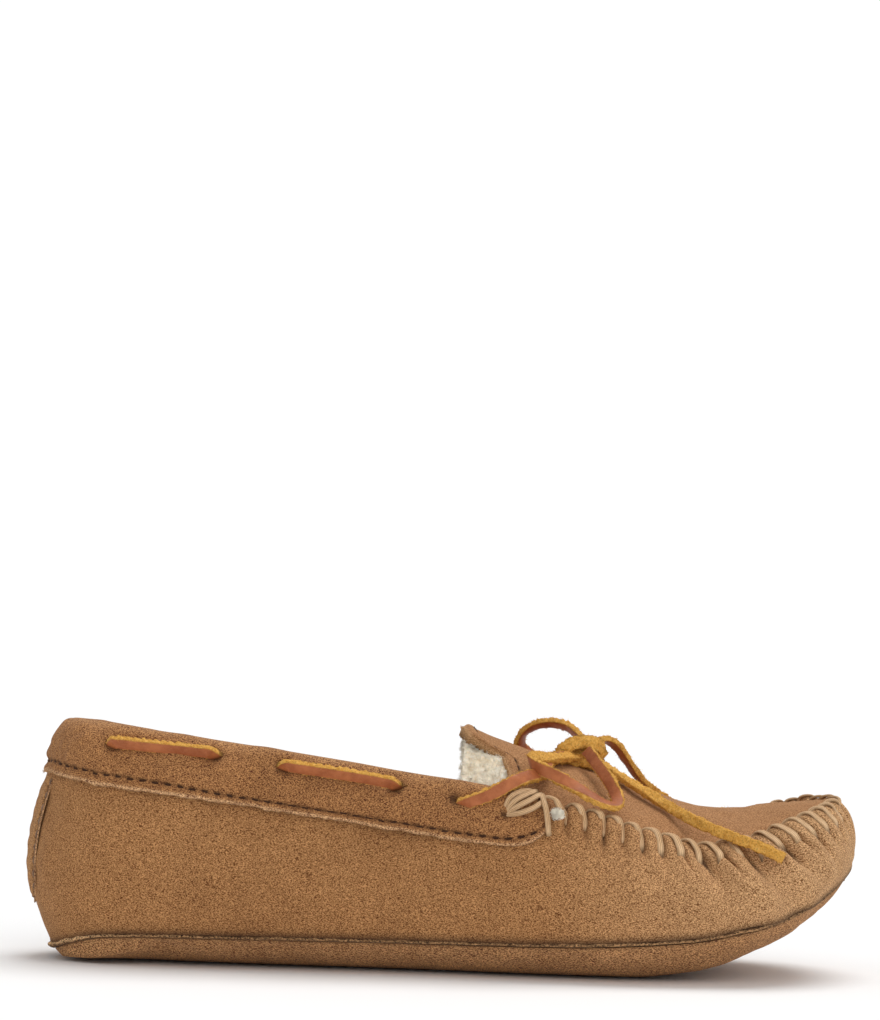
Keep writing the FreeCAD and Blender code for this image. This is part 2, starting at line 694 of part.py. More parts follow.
# ---------------------------------------------------------------- all the pieces
PIECES = {
    "outsole": outsole,
    "midsole_pad": midsole_pad,
    "insole_fleece": insole_fleece,
    "sole_welt": sole_welt,
    "vamp": vamp,
    "vamp_lining": vamp_lining,
    "quarter_lining": quarter_lining,
    "collar": collar,
    "heel_patch": heel_patch,
    "plug": plug,
    "plug_lining": plug_lining,
    "tongue_flap": tongue_flap,
    "tongue_lining": tongue_lining,
    "tongue_binding": tongue_binding,
    "lace_collar_run": lace_collar_run,
    "lace_knot": lace_knot,
    "whip_stitches": whip_stitches,
    "bar_tack_lateral": lambda: bar_tack(0),
    "bar_tack_medial": lambda: bar_tack(1),
    "collar_stitches": collar_stitches,
    "heel_patch_stitches": heel_patch_stitches,
    "tongue_stitches": tongue_stitches,
}
FREE_LACE = {
    "lace_strand_lateral": STRAND_NEAR,
    "lace_strand_medial": STRAND_FAR,
    "lace_loop_lateral": LOOP_NEAR,
    "lace_loop_medial": LOOP_FAR,
    "lace_tail_lateral": TAIL_NEAR,
    "lace_tail_medial": TAIL_FAR,
}

os.makedirs("parts", exist_ok=True)
for name, make in PIECES.items():
    shape = make()
    shape.exportStep(f"parts/{name}.step")
    print(f"{name}: valid {shape.isValid()}, {len(shape.Solids)} solids, volume {shape.Volume:.0f} mm3")
for name, route in FREE_LACE.items():
    shape, radii, length = tube(route, LACE_CORD / 2)
    shape.exportStep(f"parts/{name}.step")
    expected = math.pi * LACE_CORD ** 2 / 4 * length
    print(f"{name}: valid {shape.isValid()}, length {length:.0f} mm, volume / (section x length) "
          f"{shape.Volume / expected:.3f}, smallest radius {min(radii):.1f} mm")
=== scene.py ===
"""Soft-sole moccasin slipper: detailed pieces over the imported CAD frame.

The shape functions repeat the CAD part's own: the wall is a surface over (ring, rise). Ring 0 is the
heel and ring 1 the toe, 0 to 1 is the lateral side and 1 to 2 the medial side. A side is 0 for lateral
and 1 for medial. Everything up to the meshes is in millimetres. "out" is a distance outwards from the
wall, and "depth" a distance down from its top line. Materials are in metres.
"""
import math
import bpy
import numpy as np
from mathutils import Matrix, Vector


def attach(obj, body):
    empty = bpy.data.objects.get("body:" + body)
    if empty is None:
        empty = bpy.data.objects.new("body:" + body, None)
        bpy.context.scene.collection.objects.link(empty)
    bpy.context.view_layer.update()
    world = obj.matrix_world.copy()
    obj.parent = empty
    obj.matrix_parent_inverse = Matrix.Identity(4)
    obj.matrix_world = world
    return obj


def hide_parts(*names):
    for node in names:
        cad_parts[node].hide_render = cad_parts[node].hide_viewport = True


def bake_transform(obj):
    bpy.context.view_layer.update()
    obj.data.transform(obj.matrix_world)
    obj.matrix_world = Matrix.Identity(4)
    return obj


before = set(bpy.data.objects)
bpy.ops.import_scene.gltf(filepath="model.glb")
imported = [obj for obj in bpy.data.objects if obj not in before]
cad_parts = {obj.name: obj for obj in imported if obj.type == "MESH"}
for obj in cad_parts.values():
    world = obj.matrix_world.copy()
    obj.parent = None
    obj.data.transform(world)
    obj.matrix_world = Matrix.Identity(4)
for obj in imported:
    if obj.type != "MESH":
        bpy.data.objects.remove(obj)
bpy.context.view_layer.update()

MM = 0.001
SIDES = ("lateral", "medial")
UP = np.array((0.0, 0.0, 1.0))

# ---------------------------------------------------------------- camera
CAMERA_PLACE = (-0.002, -0.800, 0.0842)
CAMERA_ROLL = math.radians(1.4)
CAMERA_LENS = 88.2
CAMERA_SHIFT = 0.1872


def make_camera():
    data = bpy.data.cameras.new("camera")
    data.lens = CAMERA_LENS
    data.shift_y = CAMERA_SHIFT
    data.clip_start, data.clip_end = 0.05, 50.0
    camera = bpy.data.objects.new("camera", data)
    bpy.context.scene.collection.objects.link(camera)
    c, s = math.cos(CAMERA_ROLL), math.sin(CAMERA_ROLL)
    turn = Matrix(((c, -s, 0), (0, 0, -1), (s, c, 0))).to_4x4()
    camera.matrix_world = Matrix.Translation(CAMERA_PLACE) @ turn
    bpy.context.scene.camera = camera


make_camera()

# ---------------------------------------------------------------- the shoe's dimensions
# Thicknesses of the layers.
SUEDE = 1.6
GAP = 0.35  # between a layer and the next
SOLE_SUEDE = 2.0
WELT = 1.4
PILE = 3.4
FOAM = 4.0
SOCK_PILE = 3.5
LACE_WIDTH = 4.0
LACE_THICK = 2.1
FINE_THREAD = 0.6
FINE_PITCH = 4.1  # of the running stitches
STITCH_SHARE = 0.62  # of the pitch that shows as thread
HEM_SEAM = 4.0  # distance of the tongue's stitching from its rear edge
WHIP_COUNT = 37

# Widest outline in plan: from the heel along the lateral side to the toe, and back.
OUTLINE = [
    (-131.2, 0.0), (-125.5, -17.0), (-110.0, -28.5), (-85.0, -33.5), (-50.0, -36.5), (-10.0, -40.0),
    (30.0, -46.0), (65.0, -49.0), (92.0, -46.5), (112.0, -36.5), (126.0, -20.0),
    (132.5, 2.0),
    (127.0, 23.0), (113.0, 38.0), (90.0, 47.2), (60.0, 48.8), (25.0, 43.4), (-12.0, 37.5),
    (-50.0, 34.5), (-85.0, 33.0), (-110.0, 28.5), (-125.5, 17.0),
]
TOE_INDEX = 11
# By x: how far the wall's foot and top lie inside the outline, the heights of both, the share of the
# wall's height where it is widest, and how much higher the top is on the medial side.
SEAM_INSET = [(-132.5, 8.3), (-118, 5.5), (-95, 4.0), (100, 4.0), (118, 3.5), (132.5, 2.2)]
TOP_INSET = [(-132.5, 14.0), (-110, 10.5), (-60, 8.5), (0, 7.0), (36, 7.0), (55, 10.0), (75, 13.5),
             (92, 15.5), (108, 13.5), (122, 9.5), (132.5, 6.5)]
SEAM_HEIGHT = [(-124.5, 2.6), (-117, 6.0), (-105.6, 9.0), (-74, 10.0), (18, 10.9), (48, 11.6),
               (78, 14.0), (88, 15.9), (101, 18.8), (112, 23.1), (122, 28.4), (130.3, 34.0)]
TOP_HEIGHT = [(-118.7, 76.2), (-104, 75.2), (-91.8, 73.6), (-60.3, 69.5), (-29.3, 65.3), (-13.8, 62.9),
              (-1.4, 61.2), (12, 59.4), (22, 57.2), (30.7, 54.6), (36, 52.4), (47.6, 49.5), (60, 45.7),
              (66.2, 44.0), (75.7, 41.7), (85.2, 41.1), (93.4, 42.9), (101.7, 45.9), (108.4, 48.1),
              (115.5, 50.8), (122.8, 53.6), (126, 54.6)]
BULGE_SHARE = [(-132.5, 0.355), (-90, 0.30), (0, 0.25), (60, 0.28), (95, 0.34), (132.5, 0.33)]
MEDIAL_RISE = [(-120, 0.0), (-100, -1.2), (-60, -2.6), (8, -2.6), (30, -1.0), (45, 0.5), (70, 2.5),
               (110, 3.0), (126, 0.5)]
COLLAR_EDGE_HEIGHT = [(-127, 58.3), (-106, 55.2), (-74.7, 51.8), (-43.9, 48.0), (-13.2, 44.0),
                      (11.2, 41.0), (21.0, 40.4), (28.0, 42.6), (32.5, 46.5)]
SOLE_HEIGHT = [(60, 0.0), (68, 0.6), (80, 2.5), (89, 4.8), (102.5, 9.8), (113, 15.5), (123, 22.4),
               (128, 26.4), (130.7, 29.9)]
SOLE_ROUNDING = 22.0  # width of the rim where the sole curls up to its seam
RIDGE_HEIGHT = [(9.4, 76.8), (27.2, 69.4), (43, 64.2), (65.9, 57.3), (78.8, 53.0), (91.6, 52.2),
                (104.4, 53.6), (113.9, 55.4), (121.9, 56.2), (126.1, 55.4)]
# Rows across the top: x and z of the crown, then x, half width and z of the ends.
TONGUE_REAR = (5.6, 77.2, 18.4, 29.5, 60.8)
FOLD = (21.0, 72.0, 25.0, 31.5, 57.6)
PLUG_REAR = (21.5, 71.8, 25.5, 31.7, 57.4)
LINING_REAR = (7.0, 74.2, 5.2, 23.5, 61.0)
LINING_FOLD = (21.6, 69.8, 23.0, 28.5, 57.2)
# Places along x, and depths below the top line.
COLLAR_FRONT = 32.0
PLUG_SEAM_START = 35.0
LINING_SPLIT = 8.0
SLITS = [(-103.6, -71.2), (-49.8, -15.4)]
LACE_DEPTH = [(-105, 7.9), (-70, 6.2), (-50, 6.4), (-13, 6.0), (4, 7.2)]
LACE_EXIT = 4.0
PATCH_TOP, PATCH_BOTTOM = 62.0, 17.0
PLUG_OUT = -(SUEDE + 0.9)
PLUG_END, ROOF_END = 0.985, 0.972  # rings where the plug and its lining end at the toe
LINING_FOOT = 3.4  # height of the linings' lower edge above the sole seam
QUARTER_TOP = 6.6  # depth of the quarter lining's upper edge

# The free lace: control points of each stretch's middle line.
STRAND_NEAR = [(5.0, -39.4, 52.8), (7.0, -43.2, 53.8), (12.4, -44.2, 55.6), (18.4, -41.8, 58.8),
               (25.0, -37.0, 61.8), (29.8, -31.8, 62.2), (31.0, -26.0, 63.8), (31.8, -19.5, 66.2),
               (34.8, -12.0, 67.2), (40.5, -5.5, 67.6)]
STRAND_FAR = [(2.2, 37.4, 50.8), (4.4, 40.6, 52.2), (10.4, 41.4, 55.6), (17.0, 38.0, 59.4),
              (23.4, 31.6, 61.8), (29.4, 23.4, 65.0), (35.0, 14.8, 67.0), (39.4, 6.6, 68.2)]
LOOP_NEAR = [(42.0, -5.4, 67.6), (37.0, -13.5, 67.2), (31.6, -21.0, 67.2), (27.0, -27.6, 67.6),
             (26.4, -32.8, 66.0), (33.0, -35.8, 62.6), (41.0, -37.4, 58.2), (48.6, -38.2, 53.8),
             (53.8, -35.6, 52.9), (52.4, -28.0, 58.8), (49.0, -19.4, 64.0), (45.0, -9.6, 69.4)]
LOOP_FAR = [(44.0, 1.5, 72.4), (41.8, 6.0, 76.0), (36.4, 12.0, 78.2), (30.0, 17.5, 77.6),
            (25.2, 23.0, 74.4), (24.2, 28.4, 70.2), (28.4, 31.0, 67.0), (34.5, 29.4, 65.4),
            (40.0, 21.0, 65.8), (44.0, 11.0, 67.4), (45.4, 5.5, 68.4)]
TAIL_NEAR = [(47.4, -4.4, 67.2), (54.2, -9.2, 62.2), (61.6, -14.6, 58.2), (67.4, -19.0, 54.6),
             (73.2, -23.6, 51.2), (79.2, -28.4, 48.3), (85.2, -32.8, 45.9), (91.5, -36.6, 43.7),
             (97.5, -39.0, 41.9), (103.6, -40.8, 38.8)]
TAIL_FAR = [(46.6, 1.5, 71.3), (50.6, 4.0, 73.6), (55.2, 7.0, 71.8), (59.6, 10.4, 65.8),
            (64.4, 14.0, 59.4), (71.6, 18.4, 54.4), (79.6, 23.0, 50.2), (87.4, 27.4, 49.4),
            (95.0, 31.6, 50.2), (101.4, 36.6, 48.6)]
KNOT_CENTRE = np.array((43.5, -1.0, 69.8))


# ---------------------------------------------------------------- smooth curves
def mix(low, high, share):
    return low + (high - low) * share


def smooth(low, high, x):
    """0 below low, 1 above high, and an S between."""
    t = np.clip((np.asarray(x, float) - low) / (high - low), 0, 1)
    return t * t * (3 - 2 * t)


def bell(x, width):
    return np.exp(-(np.asarray(x) / width) ** 2)


def unit(vectors):
    return vectors / np.maximum(np.linalg.norm(vectors, axis=-1, keepdims=True), 1e-9)


def stacked(*columns):
    return np.stack(np.broadcast_arrays(*columns), -1)


def pushed(points, ways, far):
    """The points moved this far along their unit vectors."""
    return points + ways * np.asarray(far)[..., None]


def runs_of(line):
    """Distance along the line to each of its points."""
    return np.r_[0, np.cumsum(np.linalg.norm(np.diff(line, axis=0), axis=1))]


def columns_at(at, knots, table):
    """Each column of the table, interpolated at the given places."""
    return np.stack([np.interp(at, knots, table[:, k]) for k in range(table.shape[1])], -1)


def curve(knots, x):
    """Value at x of a smooth curve through (x, value) pairs, level beyond both ends."""
    at, value = np.array(knots, float).T
    last = len(at) - 1
    index = np.arange(last + 1)
    ahead, behind = np.minimum(index + 1, last), np.maximum(index - 1, 0)
    slope = (value[ahead] - value[behind]) / (at[ahead] - at[behind])
    x = np.clip(x, at[0], at[-1])
    k = np.clip(np.searchsorted(at, x, "right") - 1, 0, last - 1)
    span = at[k + 1] - at[k]
    t = (x - at[k]) / span
    return (value[k] * (1 + 2 * t) * (1 - t) ** 2 + slope[k] * span * t * (1 - t) ** 2
            + value[k + 1] * t * t * (3 - 2 * t) + slope[k + 1] * span * t * t * (t - 1))


def spline_run(a, b, c, d, t):
    """Catmull-Rom run from b to c."""
    return 0.5 * (2 * b + (c - a) * t + (2 * a - 5 * b + 4 * c - d) * t ** 2
                  + (3 * b - a - 3 * c + d) * t ** 3)


def through(points, count):
    """Smooth line through the points, as count evenly spaced ones."""
    points = np.array(points, float)
    ends = np.concatenate([[2 * points[0] - points[1]], points, [2 * points[-1] - points[-2]]])
    t = np.linspace(0, 1, 24, endpoint=False)[:, None]
    found = [spline_run(*ends[k:k + 4], t) for k in range(len(points) - 1)]
    return evenly(np.concatenate(found + [points[-1:]]), count)


def evenly(line, count):
    """The line as count points that are equally far apart."""
    runs = runs_of(line)
    return columns_at(np.linspace(0, runs[-1], count), runs, line)


def closed_spline(points, per_span):
    points = np.array(points, float)
    corners = (np.roll(points, -k, axis=0)[:, None] for k in (-1, 0, 1, 2))
    t = np.linspace(0, 1, per_span, endpoint=False)[None, :, None]
    return spline_run(*corners, t).reshape(-1, 2)


def ripple(points, wavelength, seed):
    """Smooth random waves of about this length, with a typical size of 1."""
    random = np.random.default_rng(seed)
    waves = 16
    ways = unit(random.normal(size=(waves, 3))) * random.uniform(0.7, 1.45, (waves, 1))
    phases = random.uniform(0, 2 * np.pi, waves)
    return np.cos(points @ ways.T * (2 * np.pi / wavelength) + phases).sum(-1) / math.sqrt(waves / 2)


def ripples(points, *waves):
    """Sum of ripples, each given as (size, wavelength, seed)."""
    return sum(size * ripple(points, wavelength, seed) for size, wavelength, seed in waves)


PER_SPAN = 40
DENSE = closed_spline(OUTLINE, PER_SPAN)
TOE = TOE_INDEX * PER_SPAN
HALVES = [DENSE[:TOE + 1], np.concatenate([DENSE[TOE:], DENSE[:1]])[::-1]]
RUNS = [runs_of(half) for half in HALVES]
SIDE_LENGTH = RUNS[0][-1]


def outline(ring):
    """Plan point (x, y) of the widest outline."""
    ring = np.asarray(ring, float) % 2
    found = [columns_at(np.clip(share, 0, 1) * run[-1], run, half)
             for half, run, share in zip(HALVES, RUNS, (ring, 2 - ring))]
    return np.where((ring <= 1)[..., None], *found)


def plan_x(ring):
    return outline(ring)[..., 0]


def ring_at(x, side):
    """Ring value where the outline passes x, with side 0 lateral (0 to 1) and 1 medial (-1 to 0)."""
    found = float(np.interp(x, HALVES[side][:, 0], RUNS[side]) / RUNS[side][-1])
    return found if side == 0 else -found


def outward(ring):
    """Plan unit vector that points out of the shoe."""
    ring, near = np.asarray(ring), 0.012
    step = outline(ring + near) - outline(ring - near)
    return unit(np.stack([step[..., 1], -step[..., 0]], -1))


# ---------------------------------------------------------------- the upright wall
def wall_span(ring):
    """Heights of the sole seam and of the top line at this ring."""
    plan, way = outline(ring), outward(ring)
    x = plan[..., 0]
    top_x, top_y = np.moveaxis(pushed(plan, way, -curve(TOP_INSET, x)), -1, 0)
    return (curve(SEAM_HEIGHT, x - curve(SEAM_INSET, x) * way[..., 0]),
            curve(TOP_HEIGHT, top_x) + curve(MEDIAL_RISE, top_x) * smooth(0, 25, top_y))


def wall(ring, rise):
    """Point of the upright wall's outer face."""
    ring, rise = np.broadcast_arrays(np.asarray(ring, float), np.asarray(rise, float))
    plan = outline(ring)
    x = plan[..., 0]
    bulge = curve(BULGE_SHARE, x)
    inset = (curve(SEAM_INSET, x) * np.clip((bulge - rise) / bulge, 0, None) ** 2
             + curve(TOP_INSET, x) * np.clip((rise - bulge) / (1 - bulge), 0, None) ** 2)
    height = mix(*wall_span(ring), rise)
    return np.concatenate([pushed(plan, outward(ring), -inset), height[..., None]], -1)


def wall_frame(ring, rise):
    """Point, unit vector along the ring, and outward unit normal of the wall."""
    step = 0.004
    along = unit(wall(ring + step, rise) - wall(ring - step, rise))
    up = wall(ring, rise + step) - wall(ring, rise - step)
    return wall(ring, rise), along, unit(np.cross(along, up))


def wall_normal(ring, rise):
    return wall_frame(ring, rise)[2]


def wall_at(ring, rise, out):
    point, _, normal = wall_frame(ring, rise)
    return pushed(point, normal, out)


def rise_at_height(ring, z):
    low, high = wall_span(ring)
    return (z - low) / (high - low)


def rise_down(ring, depth):
    return rise_at_height(ring, wall_span(ring)[1] - depth)


def wall_down(ring, depth, out):
    """Point on the wall this far below the top line."""
    ring, depth, out = np.broadcast_arrays(*(np.asarray(v, float) for v in (ring, depth, out)))
    return wall_at(ring, rise_down(ring, depth), out)


# ---------------------------------------------------------------- colours and node helpers
def linear(red, green, blue):
    """Linear colour of an 8-bit screen colour."""
    return tuple(((c / 255 + 0.055) / 1.055) ** 2.4 for c in (red, green, blue)) + (1,)


class Nodes:
    """Short calls for building one material's node tree."""

    def __init__(self, name, roughness, sheen=0.0, space="Object"):
        self.material = bpy.data.materials.new(name)
        self.material.use_nodes = True
        self.tree = self.material.node_tree
        self.shader = self.tree.nodes["Principled BSDF"]
        self.set({"Roughness": roughness, "Specular IOR Level": 0.25,
                  "Sheen Weight": sheen, "Sheen Roughness": 0.6})
        self.coordinates = self.node("ShaderNodeTexCoord", space, {})

    def put(self, value, socket):
        """Link the value into the socket, or set it."""
        if isinstance(value, bpy.types.NodeSocket):
            self.tree.links.new(value, socket)
        else:
            socket.default_value = value

    def set(self, inputs, node=None):
        for key, value in inputs.items():
            self.put(value, (node or self.shader).inputs[key])

    def node(self, kind, output, inputs, **settings):
        """One output of a new node with these inputs."""
        made = self.tree.nodes.new(kind)
        for key, value in settings.items():
            setattr(made, key, value)
        self.set(inputs, made)
        return made.outputs[output]

    def stretched(self, scale, turn=(0, 0, 0)):
        return self.node("ShaderNodeMapping", "Vector",
                         {"Vector": self.coordinates, "Scale": scale, "Rotation": turn})

    def noise(self, size, detail=3.0, roughness=0.55, vector=None, distortion=0.0):
        """Noise with features of this size in metres, from 0 to 1."""
        return self.node("ShaderNodeTexNoise", "Fac",
                         {"Vector": vector or self.coordinates, "Scale": 1 / size, "Detail": detail,
                          "Roughness": roughness, "Distortion": distortion})

    def cells(self, size):
        return self.node("ShaderNodeTexVoronoi", "Distance",
                         {"Vector": self.coordinates, "Scale": 1 / size})

    def wave(self, size, vector, distortion):
        return self.node("ShaderNodeTexWave", "Fac",
                         {"Vector": vector, "Scale": 1 / size, "Distortion": distortion},
                         bands_direction="X")

    def stretch(self, value, low, high, to_low=0.0, to_high=1.0):
        return self.node("ShaderNodeMapRange", "Result",
                         {"Value": value, "From Min": low, "From Max": high,
                          "To Min": to_low, "To Max": to_high})

    def math(self, kind, one, other):
        return self.node("ShaderNodeMath", 0, {0: one, 1: other}, operation=kind)

    def blend(self, share, one, other, kind="MIX"):
        return self.node("ShaderNodeMix", 2, {"Factor": share, 6: one, 7: other},
                         data_type="RGBA", blend_type=kind)

    def attribute(self, name):
        return self.node("ShaderNodeAttribute", "Fac", {}, attribute_name=name)

    def bump(self, height, distance, strength=1.0, below=None):
        inputs = {"Height": height, "Distance": distance, "Strength": strength}
        return self.node("ShaderNodeBump", "Normal", inputs | ({"Normal": below} if below else {}))

    def shaded(self, colour, amount, dark):
        """The colour with painted shade: darker where the mesh's shade attribute says so."""
        return self.blend(self.math("MULTIPLY", self.attribute("shade"), amount), colour, dark)

    def finish(self, colour, normal):
        self.set({"Base Color": colour, "Normal": normal})
        return self.material


# ---------------------------------------------------------------- materials
# Pale fuzz of raw suede edges, which also serves as the painted highlight at the toe and along the
# collar's rim top; and the dark of painted shade in creases, seams and hollows.
FUZZ_AND_HIGHLIGHT, CREASE_SHADE = linear(190, 148, 104), linear(58, 34, 18)
TONE = (0.85, 1.0, 1.15)  # how strongly light and dark show in red, green and blue


def suede(name, base, nap=0.00033, contrast=1.0, streaks=1.0, toe=0.0):
    """Napped suede: soft patches under a coarse speckle, lighter on raw edges, painted shade in creases.
    toe is how much paler the front is: a painted highlight where the toe faces the light."""
    n = Nodes(name, 0.92, sheen=0.12)
    n.set({"Sheen Tint": linear(225, 190, 150)})
    patches = n.noise(0.045, 3, 0.5)
    brushed = n.noise(0.013, 4, 0.6, n.stretched((1.0, 1.0, 0.6), (0, 0.5, 0)), 0.6)
    grain = n.noise(nap * 2.4, 3, 0.65, distortion=0.8)
    speckle = n.noise(nap, 2, 0.7, n.stretched((0.75, 1.0, 1.2), (0, 0.7, 0)))
    colour = n.blend(n.attribute("edge"), base, FUZZ_AND_HIGHLIGHT)
    x = n.node("ShaderNodeSeparateXYZ", 0, {0: n.coordinates})
    # Painted highlight: the front grows paler toward the toe, where the light falls on it.
    colour = n.blend(n.stretch(x, 0.03, 0.115, 0, toe), colour, FUZZ_AND_HIGHLIGHT)
    for value, spread, amount in ((patches, 0.15, 0.05), (brushed, 0.17, 0.08 * streaks),
                                  (grain, 0.15, 0.07 * contrast), (speckle, 0.13, 0.9 * contrast)):
        dark, pale = ([1 + way * channel for channel in TONE] + [1] for way in (-amount, amount))
        tone = n.blend(n.stretch(value, 0.5 - spread, 0.5 + spread), dark, pale)
        colour = n.blend(1.0, colour, tone, "MULTIPLY")
    nap_bump = n.bump(speckle, 0.00025, 0.8)
    return n.finish(n.shaded(colour, 0.92, CREASE_SHADE), n.bump(grain, 0.00035, 0.55, nap_bump))


def fleece_material():
    """Cream pile, whiter at its tips, with soft clumps."""
    n = Nodes("fleece", 0.95, sheen=0.3)
    n.set({"Subsurface Weight": 0.25, "Subsurface Radius": (0.002, 0.0016, 0.0012)})
    clumps = n.noise(0.0032, 4, 0.6, distortion=1.2)
    strands = n.noise(0.0006, 3, 0.7, distortion=2.0)
    yellow = n.noise(0.02, 2, 0.5)
    colour = n.blend(n.stretch(clumps, 0.35, 0.65), linear(240, 226, 200), linear(252, 246, 232))
    colour = n.blend(n.stretch(yellow, 0.5, 0.75, 0.0, 0.5), colour, linear(246, 222, 178))
    return n.finish(colour, n.bump(strands, 0.0004, 0.7, n.bump(clumps, 0.0012, 0.6)))


def pile_fibre_material():
    n = Nodes("fleece_fibre", 0.85, sheen=0.5)
    tone = n.noise(0.004, 2, 0.5)
    colour = n.blend(tone, linear(252, 248, 236), linear(244, 232, 206))
    return n.finish(colour, n.bump(n.noise(0.0004), 0.0001, 0.5))


def lace_material():
    """Rawhide lace: smooth brown grain where the attribute face is 1, rough ochre flesh elsewhere."""
    n = Nodes("lace_leather", 0.55)
    mottle = n.noise(0.005, 4, 0.6)
    fine = n.noise(0.0005, 3, 0.7)
    rough = n.noise(0.0009, 5, 0.75, distortion=0.8)
    pores = n.cells(0.0007)
    brown = n.blend(n.stretch(mottle, 0.35, 0.65), linear(146, 78, 42), linear(178, 105, 62))
    brown = n.blend(n.stretch(fine, 0.5, 0.8, 0.0, 0.5), brown, linear(182, 118, 78))
    ochre = n.blend(n.stretch(rough, 0.4, 0.62), linear(216, 152, 62), linear(248, 194, 98))
    ochre = n.blend(n.stretch(pores, 0.45, 0.1, 0.0, 0.55), ochre, linear(146, 90, 36))
    ochre = n.blend(n.stretch(fine, 0.55, 0.75, 0.0, 0.6), ochre, linear(248, 206, 128))
    face = n.attribute("face")
    # Painted shade where the shade attribute says so: between the knot's turns and where the lace runs
    # inside the collar.
    colour = n.shaded(n.blend(face, ochre, brown), 0.85, linear(70, 38, 16))
    n.set({"Roughness": n.stretch(face, 0, 1, 0.9, 0.42)})
    flesh = n.bump(n.math("MULTIPLY", rough, n.stretch(face, 0, 1, 1.0, 0.08)), 0.0009, 0.8)
    return n.finish(colour, n.bump(n.math("ADD", fine, pores), 0.0001, 0.4, flesh))


def waxed_thread_material():
    """Flat waxed thread with its strands running along it (UV: across, along)."""
    n = Nodes("waxed_thread", 0.55, space="UV")
    strands = n.wave(0.55, n.coordinates, 1.5)
    wear = n.noise(0.9, 4, 0.6, n.stretched((1.2, 0.14, 1)))
    colour = n.blend(n.stretch(strands, 0.1, 0.8), linear(158, 112, 70), linear(240, 200, 152))
    colour = n.blend(n.stretch(wear, 0.42, 0.7, 0.0, 0.6), colour, linear(248, 214, 170))
    # Painted shade toward each thread's end, where it sinks into a crease or hole.
    colour = n.shaded(colour, 0.9, linear(72, 44, 22))
    return n.finish(colour, n.bump(n.math("ADD", strands, wear), 0.00025, 0.7))


def sewing_thread_material(name, low, high):
    n = Nodes(name, 0.6, space="UV")
    twist = n.wave(0.35, n.stretched((1, 0.9, 1), (0, 0, 0.7)), 0.4)
    return n.finish(n.blend(twist, low, high), n.bump(twist, 0.0002, 0.8))


def foam_material():
    n = Nodes("foam", 0.9)
    cells = n.cells(0.0012)
    colour = n.blend(n.stretch(cells, 0.1, 0.6), linear(150, 142, 128), linear(206, 198, 182))
    return n.finish(colour, n.bump(cells, 0.0005, 0.6))


VAMP_SUEDE = suede("suede", linear(160, 113, 69), toe=0.85)
PLUG_SUEDE = suede("plug_suede", linear(168, 121, 80), 0.00034, 0.6, 0.7)
COLLAR_SUEDE = suede("collar_suede", linear(154, 106, 62), 0.00033, 1.1)
PATCH_SUEDE = suede("patch_suede", linear(164, 118, 72), 0.00034, 1.1)
SOLE_SUEDE_FINISH = suede("sole_suede", linear(166, 120, 76), 0.0004, 1.15, 1.4)
WELT_SUEDE = suede("welt_suede", linear(132, 92, 56), 0.0005, 1.4)
FIBRE_SUEDE = suede("suede_fibre", linear(190, 146, 100), 0.0006, 0.5)
FLEECE = fleece_material()
PILE_FIBRE = pile_fibre_material()
LACE = lace_material()
WAXED = waxed_thread_material()
BROWN_THREAD = sewing_thread_material("sewing_thread", linear(48, 28, 16), linear(104, 66, 42))
PATCH_THREAD = sewing_thread_material("patch_thread", linear(120, 84, 62), linear(206, 176, 152))
FOAM_FINISH = foam_material()


# ---------------------------------------------------------------- mesh helpers
def grid_faces(rows, columns, close_rows=False, close_columns=False):
    """Quads of a grid of points laid out row by row."""
    i = np.arange(rows if close_rows else rows - 1)[:, None]
    j = np.arange(columns if close_columns else columns - 1)[None]
    one, two = i * columns, (i + 1) % rows * columns
    right = (j + 1) % columns
    return np.stack([one + j, one + right, two + right, two + j], -1).reshape(-1, 4).tolist()


def linked(name, data):
    made = bpy.data.objects.new(name, data)
    bpy.context.scene.collection.objects.link(made)
    return made


def piece(name, points, faces, finish, body, slot, nodes=(), **attributes):
    """One smooth mesh object in the row frame, from millimetres, which rides on the body."""
    mesh = bpy.data.meshes.new(name)
    mesh.from_pydata((points.reshape(-1, 3) * MM).tolist(), [], faces)
    mesh.materials.append(finish)
    mesh.polygons.foreach_set("use_smooth", np.ones(len(mesh.polygons), bool))
    for key, values in attributes.items():
        if key == "uv":
            layer = mesh.uv_layers.new(name="UVMap")
            corners = np.zeros(len(mesh.loops), int)
            mesh.loops.foreach_get("vertex_index", corners)
            layer.data.foreach_set("uv", np.asarray(values, float).reshape(-1, 2)[corners].ravel())
        else:
            data = mesh.attributes.new(key, "FLOAT", "POINT").data
            data.foreach_set("value", np.asarray(values, np.float32).ravel())
    mesh.validate()
    made = linked(name, mesh)
    if body:
        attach(made, body)
    if nodes:
        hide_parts(*nodes)
    return made


def shell(top, under, sides=True):
    """Points and faces of a form between two grids, closed at its end rows and, if wanted, its sides."""
    rows, columns = top.shape[:2]
    faces = grid_faces(2 * rows, columns, close_rows=True)
    if sides:
        for i in range(rows - 1):
            corners = np.array((i, i + 1, 2 * rows - 2 - i, 2 * rows - 1 - i)) * columns
            faces += [corners.tolist(), (corners + columns - 1).tolist()]
    return np.concatenate([top, under[::-1]]), faces


def both_sides(values):
    """A shell's values where its two faces have the same."""
    return np.concatenate([values, values[::-1]])


def normals_of(grid, close_rows=False):
    """Unit normals of a grid of points."""
    if close_rows:
        rows = np.roll(grid, -1, 0) - np.roll(grid, 1, 0)
    else:
        rows = np.gradient(grid, axis=0)
    return unit(np.cross(rows, np.gradient(grid, axis=1)))


